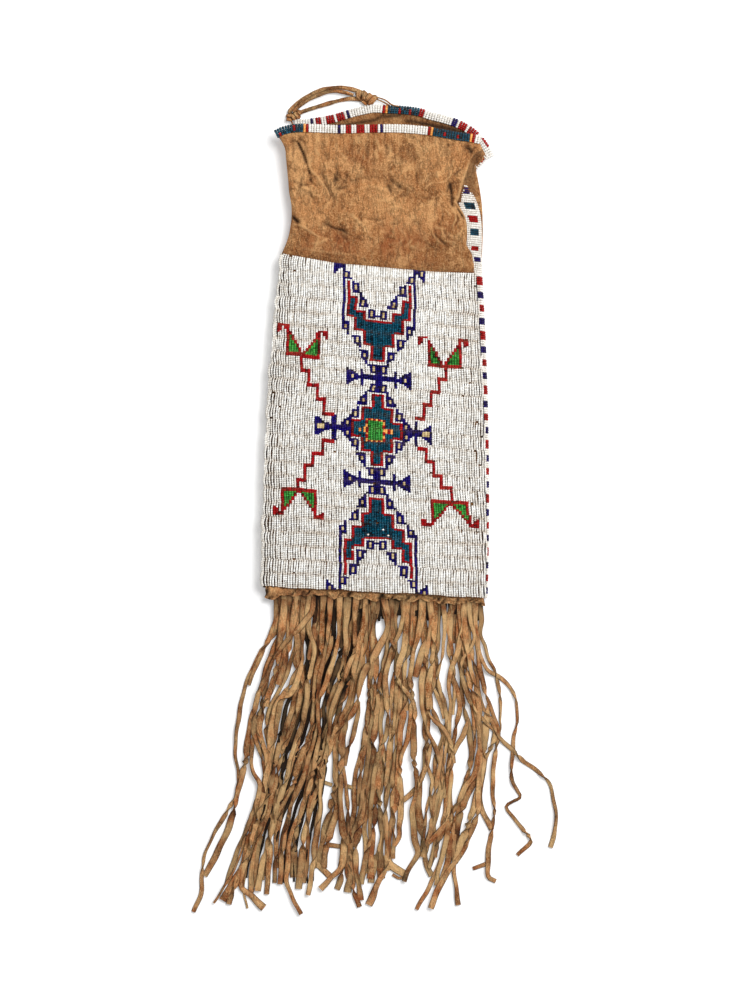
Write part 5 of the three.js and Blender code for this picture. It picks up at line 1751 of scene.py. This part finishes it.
# Tie: strands between the wrap at the lip's end and the knot on its crest, by share of the way and rise
tie = {
    "diameter": 3.4, "innerShare": 0.85, "level": 2.0, "innerLevel": 3.4, "flatness": 0.7, "turns": 7,
    "outer": [(-0.013, 4.4), (0.082, 9.3), (0.225, 13.3), (0.391, 15.3), (0.573, 14.4), (0.731, 10.9),
              (0.842, 7), (0.921, 3.5)],
    "lower": [(0.068, 1.6), (0.209, 2.8), (0.367, 3.7), (0.541, 4.5), (0.699, 4.3), (0.81, 2.4),
              (0.913, -0.5)],
    "inner": [(0.03, 3.5), (0.12, 7.2), (0.25, 10.6), (0.4, 12.3), (0.52, 12.2), (0.62, 10.2), (0.75, 6.2)],
    "strandEdges": [0.6, 0.1, 0, 0.1, 0.6, 0.4, 0.3, 0.4], "turnThickness": 1.3, "flapThickness": 1.2,
    "knotEdges": [0.7, 0.15, 0, 0.15, 0.7, 0.5, 0.4, 0.5], "firstNumber": 200, "points": 44,
    "widthMiddle": 0.95, "widthSwing": 0.08, "swings": 17, "firstTurn": 0.6, "pointsPerTurn": 14,
    "windFrom": 0.8, "windFlat": 0.8, "windTwist": 0.3, "flapPoints": 10, "flapTwist": (0.2, 0.7),
}


def middleOf(node):
    low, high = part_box(node)
    return np.array(low + high) / 2 / mm


wrapPlace, knotPlace = middleOf("tie_wrap"), middleOf("tie_knot")


def tiePiece(name, parts, edges, nodes):
    piece = meshPiece(name, *tubes(parts), thongHide)
    lay = np.vstack([layOf(rings, tie["firstNumber"] + number) for number, rings in enumerate(parts)])
    # darker edges on every strip: cut edges and painted shade
    hollow = np.tile(edges, sum(len(rings) for rings in parts))
    markPoints(piece.data, hollow=hollow, rubbed=np.zeros(len(hollow)), lay=lay)
    dress(piece, "thong_hide", *nodes)
    return piece


def tieStrand(name, route, width, level, *nodes):
    places = [wrapPlace + (knotPlace - wrapPlace) * share + (0, rise, 0) for share, rise in route]
    line = routeThrough([(x, y, level) for x, y, _ in places], tie["points"])
    t = np.linspace(0, 1, len(line))
    wide = width * (tie["widthMiddle"] + tie["widthSwing"] * np.sin(tie["swings"] * t))
    rings = ribbon(line, wide, tie["flatness"] * wide, tie["turns"] * t + tie["firstTurn"])
    piece = tiePiece(name, [rings], tie["strandEdges"], nodes)


tieStrand("tieOuterStrand", tie["outer"], tie["diameter"], tie["level"], "tie_outer_strand")
tieStrand("tieLowerStrand", tie["lower"], tie["diameter"], tie["level"], "tie_lower_strand")
tieStrand("tieInnerStrand", tie["inner"], tie["innerShare"] * tie["diameter"], tie["innerLevel"])

# Knot and wrap, measured from their middles
tieKnot = {
    # place, heading, radius, length, count and width of each winding, then width and route of each flap
    "turns": [((-9.5, 2.6, 3.4), -20, 2.5, 6, 1.3, 4.2), ((-2.5, -0.2, 3.4), -50, 2.9, 5, 1.4, 4.4)],
    "flaps": [
        (3.4, [(-9, -0.4, 3.2), (-7.5, -2.6, 2.6), (-5.4, -4, 2.2)]),
        (3.4, [(-14, 4.5, 2.6), (-6, 3, 4.4), (2.5, 0.3, 3.4)]),
        (0.9, [(2, 1.2, 3), (8, -0.8, 2.6), (13, -4.6, 4), (18, -6, 5.6)]),
        (0.9, [(2, -0.4, 3), (7, -2.6, 3), (11, -5, 5)]),
    ],
}
tieWrap = {
    "turns": [((4.4, 1.4, 2.8), 24, 2.1, 6.5, 2.2, 3.2), ((-0.4, 0.6, 2.6), 66, 1.9, 6.0, 2.0, 2.8)],
    "flaps": [(1.0, [(-0.4, -1, 2.6), (1, -4, 2.8), (3, -8, 3)])],
}


def turns(middle, heading, radius, length, count, width):  # a strip wound round a line
    angle = math.radians(heading)
    ahead = np.array([math.cos(angle), math.sin(angle), 0])
    aside = np.array([-math.sin(angle), math.cos(angle), 0])
    t = np.linspace(0, 1, int(tie["pointsPerTurn"] * count))
    spin = 2 * math.pi * count * t + tie["windFrom"]
    places = middle + ahead * (length * (t - 0.5))[:, None] + aside * (radius * np.cos(spin))[:, None]
    places[:, 2] += tie["windFlat"] * radius * np.sin(spin)
    form = (width, tie["turnThickness"], tie["windTwist"])
    return ribbon(places, *(np.full(len(t), value) for value in form))


def flap(width, points):
    line = routeThrough(points, tie["flapPoints"])
    widths, thickness = (np.full(len(line), value) for value in (width, tie["flapThickness"]))
    return ribbon(line, widths, thickness, np.linspace(*tie["flapTwist"], len(line)))


def knotPiece(name, facts, middle, node):
    origin = np.array([*middle[:2], 0])
    parts = [turns(origin + place, *form) for place, *form in facts["turns"]]
    parts += [flap(width, origin + np.array(points)) for width, points in facts["flaps"]]
    tiePiece(name, [offFloor(rings) for rings in parts], tie["knotEdges"], [node])


knotPiece("tieKnot", tieKnot, knotPlace, "tie_knot")
knotPiece("tieWrap", tieWrap, wrapPlace, "tie_wrap")
print("tie laid")

# Floor, light and finish
light = {
    "world": 0.4, "lampSize": 1.2, "lampHeight": 1.8, "lampX": 0.85, "lampY": 0.75, "aimY": -0.05,
    "power": 47.5, "floorHalf": 2.0, "floorTone": 0.9, "floorLift": 0.24,
}


def seenRays(tree):  # 1 for the rays that end in the picture: straight, mirrored or through glass
    kinds = ("Is Camera Ray", "Is Glossy Ray", "Is Transmission Ray")
    rays = tree.nodes.new("ShaderNodeLightPath").outputs
    camera, glossy, through = (Socket(tree, rays[kind]) for kind in kinds)
    return camera + glossy + through


def stageFloor():
    finish = Finish("paleFloor")
    diffuse = finish.node("ShaderNodeBsdfDiffuse", {}, {"Color": (*[light["floorTone"]] * 3, 1)})
    glow = {"Color": (1, 1, 1, 1), "Strength": light["floorLift"] * seenRays(finish.tree)}
    both = {0: diffuse, 1: finish.node("ShaderNodeEmission", {}, glow)}
    finish.finishWith(finish.node("ShaderNodeAddShader", {}, both))
    half = light["floorHalf"]
    mesh = bpy.data.meshes.new("floor")
    corners = [(-half, -half, 0), (half, -half, 0), (half, half, 0), (-half, half, 0)]
    mesh.from_pydata(corners, [], [(0, 1, 2, 3)])
    mesh.materials.append(finish.material)
    newObject("floor", mesh)


def lightStudio():
    world = bpy.data.worlds.new("softRoom")
    world.use_nodes = True
    tree = world.node_tree
    back = tree.nodes["Background"]
    back.inputs["Color"].default_value = (1, 1, 1, 1)
    feed(tree, back.inputs["Strength"], light["world"] + (1 - light["world"]) * seenRays(tree))
    bpy.context.scene.world = world
    data = bpy.data.lights.new("softLamp", "AREA")
    data.size = light["lampSize"]
    data.energy = light["power"]
    lamp = bpy.data.objects.new("softLamp", data)
    lamp.location = (light["lampX"], light["lampY"], light["lampHeight"])
    aim = Vector((0, light["aimY"], 0)) - lamp.location
    lamp.rotation_euler = aim.to_track_quat("-Z", "Y").to_euler()
    bpy.context.collection.objects.link(lamp)
    bpy.context.scene.view_settings.view_transform = "Standard"


stageFloor()
lightStudio()
for form in beadForms.values():
    bpy.data.objects.remove(form)
